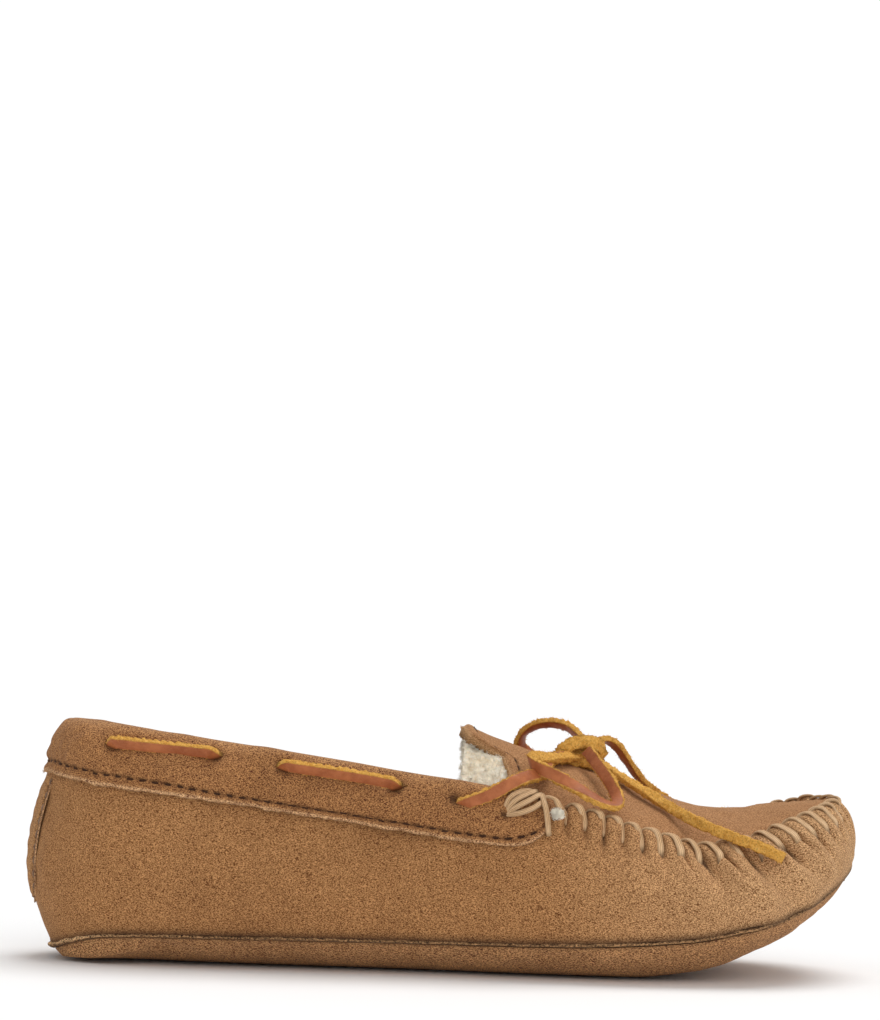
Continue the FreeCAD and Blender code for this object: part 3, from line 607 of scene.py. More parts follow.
def sweep(path, facing, section, taper=None):
    """Points of a section (across, thick) swept along a path whose thickness points along facing."""
    tangent = unit(np.gradient(path, axis=0))
    facing = unit(facing - (facing * tangent).sum(-1, keepdims=True) * tangent)
    across = np.cross(facing, tangent)
    size = section[None] * (1 if taper is None else taper[:, None, None])
    return path[:, None] + across[:, None] * size[..., :1] + facing[:, None] * size[..., 1:]


def strip_section(width, thick, count, power):
    """Closed outline of a flat strip with rounded edges."""
    angle = np.linspace(0, 2 * np.pi, count, endpoint=False) + 0.001
    circle = np.stack([np.cos(angle), np.sin(angle)], -1)
    return np.sign(circle) * np.abs(circle) ** power * (width / 2, thick / 2)


class Batch:
    """Many small parts gathered into one mesh."""

    def __init__(self):
        self.points, self.faces, self.values, self.count = [], [], {}, 0

    def add(self, points, faces, **values):
        points = points.reshape(-1, 3)
        self.faces += [[corner + self.count for corner in face] for face in faces]
        self.points.append(points)
        self.count += len(points)
        for key, value in values.items():
            self.values.setdefault(key, []).append(value.reshape(len(points), -1))

    def piece(self, name, finish, body, slot, nodes=()):
        values = {key: np.concatenate(value) for key, value in self.values.items()}
        return piece(name, np.concatenate(self.points), self.faces, finish, body, slot, nodes, **values)


def capped(grid):
    """Faces of a swept closed section with both ends closed."""
    rows, columns = grid.shape[:2]
    last = (rows - 1) * columns
    ends = [list(range(columns))[::-1], list(range(last, last + columns))]
    return grid_faces(rows, columns, close_columns=True) + ends


def hairs(batch, centre, side, other, radius):
    """Three-sided tubes along centre lines (hair, point), with two vectors across each hair."""
    angle = np.linspace(0, 2 * np.pi, 3, endpoint=False)[:, None]
    radius = radius[..., None]
    rings = (centre[:, :, None] + side[:, None, None] * np.cos(angle) * radius
             + other[:, None, None] * np.sin(angle) * radius)
    count, points = centre.shape[:2]
    one_hair = np.array(grid_faces(points, 3, close_columns=True))
    first = np.arange(count)[:, None, None] * points * 3
    batch.add(rings, (one_hair + first).reshape(-1, 4).tolist())


def fibres(batch, roots, directions, length, thick, seed, curl):
    """Fine curved hairs that taper."""
    random = np.random.default_rng(seed)
    each = len(roots), 1, 1
    lengths = length * random.uniform(0.45, 1.3, each)
    side = unit(np.cross(directions, random.normal(size=(len(roots), 3))))
    other = np.cross(directions, side)
    t = np.linspace(0, 1, 4)[None, :, None]
    bend = curl * random.uniform(0.3, 1.2, each)
    centre = (roots[:, None] + directions[:, None] * (t * lengths * (1 - 0.3 * bend * t))
              + side[:, None] * (t * t * lengths * bend)
              + other[:, None] * (np.sin(t * 5 + random.uniform(0, 6, each)) * lengths * 0.12 * bend))
    hairs(batch, centre, side, other, thick / 2 * (1 - 0.65 * t))


def curly(batch, roots, normals, length, seed, thick=0.16):
    """Crimped wool fibres: small uneven curls that stand off the surface."""
    random = np.random.default_rng(seed)
    each = len(roots), 1, 1
    side = unit(np.cross(normals, random.normal(size=(len(roots), 3))))
    other = np.cross(normals, side)
    t = np.linspace(0, 1, 8)[None, :, None]
    turns = random.uniform(3.5, 7.5, each) * t + random.uniform(0, 6.28, each)
    radius = random.uniform(0.25, 0.6, each) * t ** 0.6
    tall = length * random.uniform(0.5, 1.15, each)
    centre = (roots[:, None] + normals[:, None] * (t * tall) + side[:, None] * np.cos(turns) * radius
              + other[:, None] * np.sin(turns) * radius)
    hairs(batch, centre, side, normals, thick / 2 * (1 - 0.5 * t))


# ---------------------------------------------------------------- free lace
def route_line(name, route):
    """Points of the NURBS line whose control points are the route, in millimetres."""
    data = bpy.data.curves.new(name, "CURVE")
    data.dimensions = "3D"
    data.resolution_u = 24
    spline = data.splines.new("NURBS")
    spline.points.add(len(route) - 1)
    for point, place in zip(spline.points, route):
        point.co = (*(c * MM for c in place), 1)
    spline.order_u = 3
    spline.use_endpoint_u = True
    holder = linked(name, data)
    bpy.context.view_layer.update()
    mesh = bpy.data.meshes.new_from_object(holder)
    line = np.array([v.co[:] for v in mesh.vertices]) / MM
    bpy.data.objects.remove(holder)
    bpy.data.curves.remove(data)
    bpy.data.meshes.remove(mesh)
    return line


LACE_SECTION = strip_section(LACE_WIDTH, LACE_THICK, 28, 0.42)
LACE_ACROSS = np.abs(LACE_SECTION[:, 0]) / (LACE_WIDTH / 2)  # 1 at the strip's edges
LACE_UP = LACE_SECTION[:, 1] / (LACE_THICK / 2)  # 1 on its brown face, -1 on its rough one


def lace_surface(path, facing, top, edge, rough, wobble=(), size=1.0):
    """Grid and face values of a lace along the path, brown on top and rough beyond its edge limits."""
    grid = sweep(path, facing, LACE_SECTION * (size, 1.0))
    brown = np.broadcast_to(smooth(*top, LACE_UP) * (1 - smooth(*edge, LACE_ACROSS)), grid.shape[:2])
    off = (1 - brown) * ripples(grid, *rough) + ripples(grid, *wobble)
    return pushed(grid, unit(grid - path[:, None]), off), brown


def lace_shape(line, facings, seed, step=0.5, size=1.0):
    """Path, grid and face values of a flat lace. facings are (share, direction of its brown face)."""
    path = evenly(line, int(runs_of(line)[-1] / step))
    share = np.linspace(0, 1, len(path))
    facing = stacked(*(curve([(at, way[k]) for at, way in facings], share) for k in range(3)))
    rough, wobble = ((0.15, 1.0, seed), (0.11, 2.6, seed + 1)), [(0.05, 4.0, seed + 2)]
    return path, *lace_surface(path, facing, (0.45, 0.75), (0.8, 0.98), rough, wobble, size)


def lace_fuzz(grid, seed, density=0.22, length=0.75):
    """Loose fibres along the lace's raw edges."""
    random = np.random.default_rng(seed)
    raw = np.where((LACE_ACROSS > 0.8) | (LACE_UP < -0.7))[0]
    roots, ways = [], []
    centre = grid.mean(1)
    for k in range(len(grid)):
        for c in raw:
            if random.random() < density:
                roots.append(grid[k, c])
                ways.append(unit(unit(grid[k, c] - centre[k]) + random.normal(size=3) * 0.55))
    fibres(LACE_FUZZ, np.array(roots), np.array(ways), length, 0.11, seed + 5, 0.7)


LACE_FUZZ = Batch()


def free_lace(name, route, facings, seed, size=1.0):
    path, grid, brown = lace_shape(route_line(name, route), facings, seed, size=size)
    made = piece(name, grid, capped(grid), LACE, "shoe", "lace_leather", [name], face=brown)
    lace_fuzz(grid, seed)


free_lace("lace_strand_lateral", STRAND_NEAR,
          [(0, (-0.15, -1, -0.6)), (0.18, (-0.1, -1, -0.3)), (0.36, (0, -1, 0.35)),
           (0.58, (0.15, -0.9, 0.7)), (0.8, (0.3, -0.9, 0.5)), (1, (0.3, -0.8, 0.5))],
          11)
free_lace("lace_strand_medial", STRAND_FAR,
          [(0, (-0.15, 1, -0.25)), (0.3, (-0.2, 1, -0.3)), (0.6, (-0.4, 0.9, -0.1)),
           (1, (-0.3, 0.8, 0.5))],
          21)
free_lace("lace_loop_lateral", LOOP_NEAR,
          [(0, (0.3, 0.9, -0.3)), (0.2, (0.5, 0.9, -0.15)), (0.28, (-0.5, 0.5, -0.4)),
           (0.33, (-0.8, -0.55, -0.4)), (0.38, (-0.35, -0.95, -0.3)), (0.44, (-0.15, -0.95, 0.25)),
           (0.50, (0.1, -0.75, 0.65)), (0.57, (0.25, -0.5, 0.9)), (0.65, (0.05, -0.35, 0.97)),
           (0.71, (-0.4, -0.55, 0.75)), (0.76, (-0.6, -0.85, 0.25)), (0.84, (-0.35, -1, 0.1)),
           (1, (-0.3, -0.95, 0.1))],
          31)
free_lace("lace_loop_medial", LOOP_FAR,
          [(0, (-0.9, -0.2, -0.3)), (0.25, (-0.2, -0.45, -0.85)), (0.45, (0.7, -0.35, -0.6)),
           (0.62, (0.8, -0.3, 0.5)), (0.8, (0.2, -0.6, 0.8)), (1, (0, -0.6, 0.8))],
          41)
free_lace("lace_tail_lateral", TAIL_NEAR,
          [(0, (-0.3, 0.1, -0.95)), (0.3, (-0.2, 0.7, -0.65)), (0.5, (0.1, 0.97, -0.05)),
           (1, (0.2, 0.97, 0.0))],
          51, 0.82)
free_lace("lace_tail_medial", TAIL_FAR,
          [(0, (0.2, -0.3, -0.95)), (0.3, (-0.8, -0.45, -0.5)), (0.55, (-0.7, -0.5, -0.5)),
           (1, (-0.2, 0.1, -0.95))],
          61)


# ---------------------------------------------------------------- lace knot
def lace_knot():
    """The bow's knot: one band wrapped over the crossing strands, and the strands' bends below it."""
    batch = Batch()
    turns = [
        ([(-6.8, -4.0, -2.4), (-5.8, -5.2, -0.2), (-2.8, -5.2, 1.7), (1.2, -4.4, 2.4), (4.8, -2.8, 1.4),
          (6.6, 0.8, -1.0), (5.2, 3.8, -3.0)], (0.3, 0.85, -0.3), (-0.6, 0.6, -0.3), 1.2),
        ([(-6.2, -1.6, -1.6), (-3.6, -2.8, -0.8), (0.6, -3.0, -0.4), (4.4, -2.6, -1.2),
          (6.2, -0.6, -3.0)],
         (0.2, 0.95, -0.2), (-0.3, 0.9, 0.1), 1.6),
        ([(-7.5, -4.8, -1.8), (-3.6, -5.6, -3.0), (0.6, -5.4, -3.4), (4.0, -4.0, -4.0)],
         (0.1, 0.95, 0.2), (-0.2, 0.95, 0.2), 1.15),
        ([(3.4, -3.2, 2.2), (6.0, -0.8, 0.8), (6.4, 2.2, -1.2), (3.0, 4.8, -2.2), (-2.4, 4.6, -1.8)],
         (-0.9, 0.3, 0.1), (0.2, -0.9, 0.2), 1.2),
        ([(-3.6, 0.5, -3.4), (0.0, -1.8, -3.1), (3.4, -0.6, -3.5), (5.0, 2.0, -4.8)],
         (0.1, 0.9, 0.2), (0.1, 0.9, 0.2), 1.6),
    ]
    # Painted shade along the edges of each turn, where the turns press on one another.
    turn_edge_shade = 0.55 * smooth(0.72, 1.0, LACE_ACROSS)
    for k, (route, first, last, size) in enumerate(turns):
        line = through(np.array(route) + KNOT_CENTRE, 60)
        _, grid, brown = lace_shape(line, [(0, first), (1, last)], 70 + 3 * k, 0.4, size)
        batch.add(grid, capped(grid), face=brown, shade=np.broadcast_to(turn_edge_shade, brown.shape))
        lace_fuzz(grid, 90 + k, 0.2)
    batch.piece("lace_knot_turns", LACE, "shoe", "lace_leather", ["lace_knot"])


lace_knot()


# ---------------------------------------------------------------- whip-stitched seam
FIRST_STITCH = PLUG_SEAM_START + 1.5
LAST = WHIP_COUNT - 1
TOE_STITCH = LAST / 2
SEAM_RINGS = np.linspace(ring_at(FIRST_STITCH, 0), 2 + ring_at(FIRST_STITCH, 1), 600)
SEAM_RUNS = runs_of(wall(SEAM_RINGS, 1.0))
WHIP_PITCH = SEAM_RUNS[-1] / LAST
RING_PER_STITCH = (SEAM_RINGS[-1] - SEAM_RINGS[0]) / LAST
variety = np.random.default_rng(5)
PUCKER_SIZE = variety.uniform(0.8, 1.2, WHIP_COUNT + 4)
CREASE_SIZE = variety.uniform(0.8, 1.25, WHIP_COUNT + 4)
CREASE_REACH = variety.uniform(4.5, 9.0, WHIP_COUNT + 4)


def stitch_index(ring):
    """0 at the first whip stitch and LAST at the last, going on evenly beyond them."""
    ring = np.asarray(ring, float)
    over = np.maximum(ring - SEAM_RINGS[-1], 0) + np.minimum(ring - SEAM_RINGS[0], 0)
    return np.interp(ring, SEAM_RINGS, SEAM_RUNS / WHIP_PITCH) + over / RING_PER_STITCH


def stitch_ring(index):
    index = np.asarray(index, float)
    over = np.maximum(index - LAST, 0) + np.minimum(index, 0)
    return np.interp(index * WHIP_PITCH, SEAM_RUNS, SEAM_RINGS) + over * RING_PER_STITCH


CREASE_LEAN = [(36, 0.0), (55, 0.10), (66, 0.35), (76, 0.75), (92, 0.95), (112, 0.85), (128, 0.5)]
BULGE_OUT, GROOVE_IN, FOLD_OUT = 2.0, 2.8, 2.1  # heights of the gathered vamp's parts
DEEPEST = 1.55  # how far a fold may sink into the wall
CREASE_SLANT, FOLD_SLANT = 0.62, 0.7  # shares of the lean that creases and long folds take
CURL = 1.6  # radius of the vamp's edge where it turns over into the seam
QUARTER = CURL * math.pi / 2
SEAM_DEPTH = 0.9  # of the seam's middle below the top line

# Long soft folds that run down and forward from the seam: stitch they start at, reach, size.
FOLDS = [(3.9, 14, 0.4), (5.9, 20, 0.6), (7.8, 32, 1.2), (10.1, 32, 1.1), (12.0, 22, 0.6),
         (23.6, 24, 0.8), (26.0, 30, 1.1), (28.3, 30, 1.0), (30.9, 18, 0.5)]


def pucker(ring, depth, x):
    """How far the gathered vamp stands out, how far its edge rises, and how deep in a crease it is."""
    index = stitch_index(ring)
    toe_side = np.tanh((TOE_STITCH - index) / 2.5)
    down = np.maximum(depth, 0)
    slant = toe_side * curve(CREASE_LEAN, x) * down / WHIP_PITCH
    phase = index - CREASE_SLANT * slant
    crease = np.clip(np.round(phase), -1, WHIP_COUNT).astype(int) + 1
    lump = np.clip(np.floor(phase), -1, WHIP_COUNT).astype(int) + 1
    across = 2 * (phase - np.floor(phase)) - 1
    groove = (CREASE_SIZE[crease] * bell(phase - np.round(phase), 0.10 + 0.010 * down)
              * bell(down, CREASE_REACH[crease]))
    crown = np.sqrt(np.clip(1 - across ** 2, 0, 1))
    bulge = PUCKER_SIZE[lump] * crown * bell(np.maximum(down - 1.0, 0), 7.0)
    wide = 0.5 + down * 0.02
    folds = 0
    for start, reach, size in FOLDS:
        off = index - FOLD_SLANT * slant - start
        fade = smooth(0, 7, down) * (1 - smooth(reach * 0.45, reach, down))
        folds = folds + size * fade * (bell(off, wide) - 0.8 * bell(off + 0.95 * toe_side, wide))
    strength = smooth(-1.3, -0.1, index) * (1 - smooth(LAST + 0.1, LAST + 1.3, index))
    out = strength * (BULGE_OUT * bulge - GROOVE_IN * groove - 0.4) + FOLD_OUT * folds
    out = np.where(out < 0, -DEEPEST * np.tanh(-out / DEEPEST), out)
    rise = strength * (1.7 * bulge - 1.1 * groove - 0.2)
    return out, rise, np.clip(groove * strength, 0, 1)


def below_collar(x):
    """How much lower the vamp's edge lies where the collar covers it."""
    return 4.5 * (1 - smooth(31, 35.5, x))


def vamp_surface(ring, run):
    """The vamp's outer face: run is the distance from the top of its rolled edge, outwards and down."""
    ring, run = np.broadcast_arrays(np.asarray(ring, float), np.asarray(run, float))
    angle = np.clip(run / CURL, -math.pi / 2, math.pi / 2)
    x = plan_x(ring)
    depth = SEAM_DEPTH - CURL * np.cos(angle) + np.maximum(np.abs(run) - QUARTER, 0) + below_collar(x)
    outwards, upwards, groove = pucker(ring, np.where(run < 0, 0, depth), x)
    inner = np.clip(-run / QUARTER, 0, 1)
    push = CURL * (np.sin(angle) - 1) + np.where(run > 0, outwards * np.sin(angle), 0)
    found = wall_at(ring, rise_down(ring, depth), push)
    found[..., 2] += upwards * np.cos(angle) ** 2 * (1 - 0.5 * inner)
    return found, groove


def vamp():
    """The suede wall round the whole foot, gathered into the seam with the plug."""
    first, last = ring_at(30.0, 0), 2 + ring_at(30.0, 1)
    parts = (0, first, 120), (first, last, 640), (last, 2, 120)
    rings = np.concatenate([np.linspace(*part, endpoint=False) for part in parts])[:, None]
    low, high = wall_span(rings)
    x = plan_x(rings)
    edge = np.r_[np.linspace(-QUARTER - 1.0, 0, 6, endpoint=False), np.linspace(0, QUARTER, 7)]
    bottom = high - low - WELT / 2 - SEAM_DEPTH - below_collar(x) + QUARTER
    share = np.linspace(0, 1, 56)[None, 1:]
    body = QUARTER + (bottom - QUARTER) * (0.45 * share + 0.55 * share ** 2)
    runs = np.concatenate([np.broadcast_to(edge, (len(rings), len(edge))), body], 1)
    grid, groove = vamp_surface(rings, runs)
    normal = normals_of(grid, close_rows=True)
    height = grid[..., 2] - low
    waves = ripples(grid, (0.30, 26, 1), (0.10, 9, 2)) * smooth(0, 3, runs)
    grid = pushed(grid, normal, waves * smooth(0.02, 0.25, height / (high - low)))
    tuck = bell(height - WELT / 2, 1.3)
    grid = pushed(grid, normal, -0.9 * tuck)
    raw = bell(runs + 0.3, 1.0) * smooth(31, 36, x) * 0.75
    # Painted shade in the creases below the whip stitches and along the tuck into the sole seam.
    shade = np.clip(0.95 * smooth(0.25, 0.9, groove) * smooth(1.5, 4, runs) + 0.95 * tuck, 0, 1)
    piece("vamp_suede", grid, grid_faces(*grid.shape[:2], close_rows=True), VAMP_SUEDE, "shoe", "suede",
          ["vamp"], edge=raw, shade=shade)


vamp()


def band(batch, points, facings, width, thick):
    """One flat thread along a smooth line through the points, its facings spread evenly along it."""
    count, around = 26, 14
    path = through(points, count)
    t = np.linspace(0, 1, count)
    facing = columns_at(t, np.linspace(0, 1, len(facings)), np.array(facings))
    grid = sweep(path, facing, strip_section(width, thick, around, 0.6))
    t = t[:, None]
    uv = stacked(np.arange(around)[None] / around * 4, t * runs_of(path)[-1])
    # Painted shade: each thread darkens toward its end, where it sinks into the suede.
    shade = np.broadcast_to(smooth(0.82, 1.0, t) * 0.9, grid.shape[:2])
    batch.add(grid, capped(grid), uv=uv, shade=shade)


def whip_stitches():
    """Flat waxed thread: each stitch comes out of the plug, goes over a pucker and down its crease."""
    batch = Batch()
    random = np.random.default_rng(17)
    for k in range(WHIP_COUNT):
        toward = 1 if k < TOE_STITCH else -1
        back = random.uniform(0.80, 0.94)
        # Stitches behind its crease, run over the vamp's edge, and height above the vamp.
        places = [(back + 0.12, -QUARTER * 0.8, 0.1), (back, -0.2, 0.45), (back - 0.28, 0.25, 0.6),
                  (back - 0.56, QUARTER * 0.6, 0.65), (0.08, QUARTER + 0.7, 0.6),
                  (0.01, QUARTER + 2.7, 0.35), (-0.02, QUARTER + 4.3, -1.2)]
        points, ways = [], []
        for behind, run, off in places:
            ring = stitch_ring(k - toward * behind)
            angle = np.clip(run / CURL, -math.pi / 2, math.pi / 2)
            way = unit(wall_normal(ring, 0.95) * math.sin(angle) + UP * math.cos(angle))
            points.append(vamp_surface(ring, run)[0] + way * off)
            ways.append(way)
        if k in (0, LAST):
            ends = [(28.6, 0.6, 0.6), (30.2, -0.8, 1.6), (32.6, -1.0, 1.8)]
            points[:3] = [wall_down(ring_at(x, 1 if k else 0), depth, out) for x, depth, out in ends]
            ways[:3] = [ways[2]] * 3
        band(batch, points, ways, random.uniform(2.0, 2.5), 0.85)
    batch.piece("whip_stitches_thread", WAXED, "shoe", "waxed_thread", ["whip_stitches"])


whip_stitches()


# ---------------------------------------------------------------- plug and tongue
def row_of(dims):
    ridge_x, ridge_z, x, half, z = dims
    return np.array(((x, -half, z), (x, half, z), (ridge_x, 0, ridge_z)), float)


def plug_row(share):
    edges = wall_at(np.array((share, 2 - share)), 1.0, PLUG_OUT)
    x, y, _ = edges.mean(0)
    return np.array((*edges, (x, y, curve(RIDGE_HEIGHT, x))))


def arch(rows, u):
    """Points of crowned rows (first end, last end, crown) at u from -1 to 1."""
    t = ((u + 1) / 2)[..., None]
    one, two, crown = (rows[..., k, :] for k in range(3))
    chord = one + (two - one) * t
    return chord + (crown - (one + two) / 2) * (1 - u ** 2)[..., None]


def through_rows(rows, count):
    return through(np.array(rows).reshape(len(rows), 9), count).reshape(count, 3, 3)


def plug_rows(last):
    """Rows of the plug from behind its seam to this ring."""
    shares = np.linspace(ring_at(PLUG_SEAM_START, 0), last, 26)
    return [row_of(PLUG_REAR) + (1.2, 0, -0.5)] + [plug_row(share) for share in shares]


def top_rows():
    """Rows of the plug and tongue, from the tongue's rear edge to the toe."""
    rear, fold = row_of(TONGUE_REAR), row_of(FOLD)
    return through_rows([mix(rear, fold, share) for share in (0, 0.5, 1)] + plug_rows(PLUG_END), 300)


TOP_ROWS = top_rows()


def recessed(grid, across):
    """The tongue's rear edge drawn forward beside the hem, by compressing its first rows."""
    rows = 70
    start = 0.27 * smooth(0.42, 0.56, across) * (1 - 0.5 * smooth(0.75, 1.0, across)) * rows
    index = start + (rows - start) * np.arange(rows)[:, None] / rows
    low = index.astype(int)
    column = np.arange(len(across))
    found = grid.copy()
    found[:rows] = mix(grid[low, column], grid[low + 1, column], (index - low)[..., None])
    return found


def upward_normals(grid):
    normal = normals_of(grid)
    return normal * np.sign(normal[..., 2:])


def plug_and_tongue():
    """One suede piece from the tongue's hem to the toe, crowned across and gathered at its edge."""
    half_width = np.linalg.norm(TOP_ROWS[:, 1] - TOP_ROWS[:, 0], axis=1)[:, None] / 2
    u = np.linspace(-1, 1, 141)
    u = np.sign(u) * (1 - (1 - np.abs(u)) ** 1.25)
    grid = recessed(arch(TOP_ROWS[:, None], np.broadcast_to(u, (len(TOP_ROWS), len(u)))), np.abs(u))
    normal = upward_normals(grid)
    inwards = (1 - np.abs(u)) * half_width
    x = grid[..., 0]
    tucked = smooth(20, 25, x) * (1 - smooth(33, 38, x)) * bell(inwards, 7.0)
    grid = grid + stacked(0 * x, np.sign(u) * 1.6 * tucked, -2.6 * tucked)
    share = np.interp(x, HALVES[0][:, 0], RUNS[0]) / SIDE_LENGTH
    cross = np.cos(2 * np.pi * stitch_index(np.clip(share, 0, 0.999)))
    seam = smooth(36, 40, x)
    gather = -0.55 * cross * bell(inwards, 4.5) - 0.9 * bell(inwards, 1.6)
    wrinkle = 0.30 * ripple(grid * (1.0, 0.5, 1.0), 8, 3) * bell(inwards - 3, 7)
    rear = np.linalg.norm(grid - grid[:1], axis=-1)
    side = inwards + 40 * smooth(24, 34, x)
    hem = bell(rear - HEM_SEAM, 0.5)
    in_hem = 1 - smooth(0.40, 0.50, np.abs(u))
    hem_height = 0.6 * (1 - smooth(3.4, 4.3, rear)) * in_hem
    roll = -1.6 * (1 - smooth(0, 2.2, rear)) ** 2 - 1.2 * (1 - smooth(0, 1.6, side)) ** 2
    soft = ripples(grid, (0.35, 30, 4), (0.07, 8, 6))
    grid = pushed(grid, normal, (gather + wrinkle) * seam + soft + hem_height + roll - 0.35 * hem)
    under = pushed(grid, normal, -SUEDE - 1.1 * in_hem * (1 - smooth(3.2, 4.4, rear)))
    raw = np.clip(bell(side, 0.9) + bell(inwards, 1.1) * seam * 0.6 + bell(rear, 0.7), 0, 1)
    # Painted shade in the hem's stitch groove and at the plug's edge beside each whip stitch.
    shade = np.clip(0.75 * hem + 0.5 * bell(inwards, 1.0) * seam * (cross > 0.5), 0, 1) * 0.8
    made = piece("plug_and_tongue", *shell(grid, under), PLUG_SUEDE, None, "suede",
                 ["plug", "tongue_flap", "tongue_binding"],
                 edge=both_sides(raw), shade=both_sides(shade))
    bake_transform(made)
    return grid


TOP_GRID = plug_and_tongue()


# ---------------------------------------------------------------- collar
# Its outer face from the raw edge up: share of the edge's depth, and how far it puffs out.
COLLAR_LOW = [(1.0, 0.0), (0.93, 0.0), (0.85, 0.0), (0.78, 0.35), (0.70, 1.0), (0.48, 2.15),
              (0.2, 2.25), (0.0, 1.2)]
LACE_SLOT_X = [x for pair in SLITS for x in pair] + [LACE_EXIT - 1.0]
TACK_HOLE_X, TACK_HOLE_DEPTH = 18.0, 8.4
INNER_COLUMNS = 18  # columns of the collar's grid that have an inner face


def spline_through(control, count):
    """Cubic B-spline with these control points and clamped ends, as count points for each row."""
    n = control.shape[-2]
    knots = np.r_[[0] * 3, np.arange(n - 2), [n - 3] * 3].astype(float)
    t = np.linspace(0, n - 3 - 1e-9, count)
    basis = [(low <= t) & (t < high) for low, high in zip(knots, knots[1:])]
    for degree in (1, 2, 3):
        rise = [(t - low) / (high - low) if high > low else 0 * t
                for low, high in zip(knots, knots[degree:])]
        basis = [rise[i] * basis[i] + (1 - rise[i + 1]) * basis[i + 1] for i in range(len(basis) - 1)]
    return np.einsum("kt,...kc->...tc", np.array(basis), control)


def collar_section(ring):
    """Control points (depth, out) of the collar at each ring, raw edge first, and that edge's depth."""
    x = plan_x(ring)
    edge_depth = wall_span(ring)[1] - curve(COLLAR_EDGE_HEIGHT, x)
    puff = mix(1.0, 0.25, smooth(8, 24, x))
    pile = mix(PILE, 0.1, smooth(8, 20, x))
    reach = mix(12.5, 5.6, smooth(6, 20, x))
    roll = -(SUEDE + 3 * GAP + pile) - SUEDE
    points = [(mix(1.8, edge_depth, share), GAP + SUEDE + lift * puff) for share, lift in COLLAR_LOW]
    points += [(0.3, 0.6), (0, 0.38 * roll), (0.9, 0.78 * roll), (3.2, roll),
               (mix(3.2, reach, 0.5), roll), (reach, roll)]
    return np.stack([stacked(*p, 0 * x)[..., :2] for p in points], -2), edge_depth


def lace_shown(x):
    """1 where the lace lies outside the collar and 0 where it is inside."""
    change = np.array((-1.8, 1.8))
    return sum(smooth(*(first + change), x) * (1 - smooth(*(last + change), x))
               for first, last in SLITS)


def lip_height(x):
    """Distance of the collar's stitching from its raw edge."""
    return mix(3.5, 2.4, smooth(-100, -60, x))


def collar_grid(columns=640, across=78):
    """The collar's face from its raw edge over the rim and in, with normals, edge and shade values."""
    rings = np.linspace(ring_at(COLLAR_FRONT, 1), ring_at(COLLAR_FRONT, 0), columns)
    control, edge_depth = collar_section(rings)
    depth, out = np.moveaxis(spline_through(control, across), -1, 0)
    grid = wall_down(rings[:, None], depth, out)
    x = plan_x(rings)[:, None]
    above = edge_depth[:, None] - depth
    position = np.linspace(0, 1, across)[None]
    outside = 1 - smooth(0.52, 0.66, position)
    normal = normals_of(grid)
    wave = np.cos(2 * np.pi * runs_of(grid[:, 0]) / FINE_PITCH)[:, None]
    stitch = 0.5 - 0.5 * wave
    from_seam = above - lip_height(x)
    dent = -0.55 * bell(from_seam, 0.75) * (0.6 + 0.4 * stitch)
    dent = dent + 0.10 * wave * bell(from_seam - 1.9, 2.0)
    folds = 0.30 * ripple(grid * (1, 1, 0.55), 13, 8) * smooth(2.5, 6, above)
    folds = folds + 0.10 * ripple(grid, 5, 9)
    lip = 0.5 * bell(above - 0.9, 1.2) * (1 + 0.35 * ripple(grid, 9, 10))
    off_lace = depth - curve(LACE_DEPTH, x)
    trench = sum(bell(x - end, 3.0) for end in LACE_SLOT_X) * bell(off_lace, 1.9)
    dark = sum(bell(x - end, 2.2) for end in LACE_SLOT_X) * bell(off_lace, 1.7)
    hole = bell(x - TACK_HOLE_X, 1.3) * bell(depth - TACK_HOLE_DEPTH, 1.1)
    pressed = -0.5 * lace_shown(x) * bell(off_lace, 2.4)
    wobble = ripples(grid, (0.16, 9.0, 12), (0.10, 2.2, 14))
    grid = pushed(grid, normal, (dent + folds + lip + pressed - 1.5 * trench - hole) * outside)
    grid[..., 2] += wobble * bell(above, 0.9) * outside
    grid = pushed(grid, normal, 0.55 * ripple(grid, 36, 15) * outside * smooth(3, 10, above))
    # Paler along the raw edge, and a painted highlight along the rim's top where the collar folds over.
    edge = np.clip(bell(above, 0.8) * 0.95 + 0.25 * bell(position - 0.62, 0.1), 0, 1)
    # Painted shade in the stitching's groove, at the lace's slits and in the bar tack's hole.
    groove = 0.75 * bell(from_seam, 0.45) * (0.45 + 0.55 * stitch)
    shade = np.clip((dark + hole + groove) * outside, 0, 1)
    return grid, normal, edge, shade


def collar():
    """The padded strip folded over the rim: stitched above its raw edge, with slits for the lace."""
    grid, normal, edge, shade = collar_grid()
    low = slice(0, INNER_COLUMNS)
    inner = grid[:, low] - normal[:, low] * SUEDE
    inner[:, 0] = grid[:, 0] - normal[:, 0] * SUEDE * 0.95
    whole = np.concatenate([inner[:, ::-1], grid], 1)
    edges = np.concatenate([edge[:, low][:, ::-1], edge], 1)
    edges[:, INNER_COLUMNS - 3:INNER_COLUMNS + 2] = 0.9
    # Painted shade on the back of the collar's lower part, where it lies against the vamp.
    shades = np.concatenate([np.full(inner.shape[:2], 0.4), shade], 1)
    piece("collar_suede_strip", whole, grid_faces(*whole.shape[:2]), COLLAR_SUEDE, "shoe",
          "collar_suede", ["collar"], edge=edges, shade=shades)
    return grid, normal


COLLAR_GRID, COLLAR_NORMAL = collar()


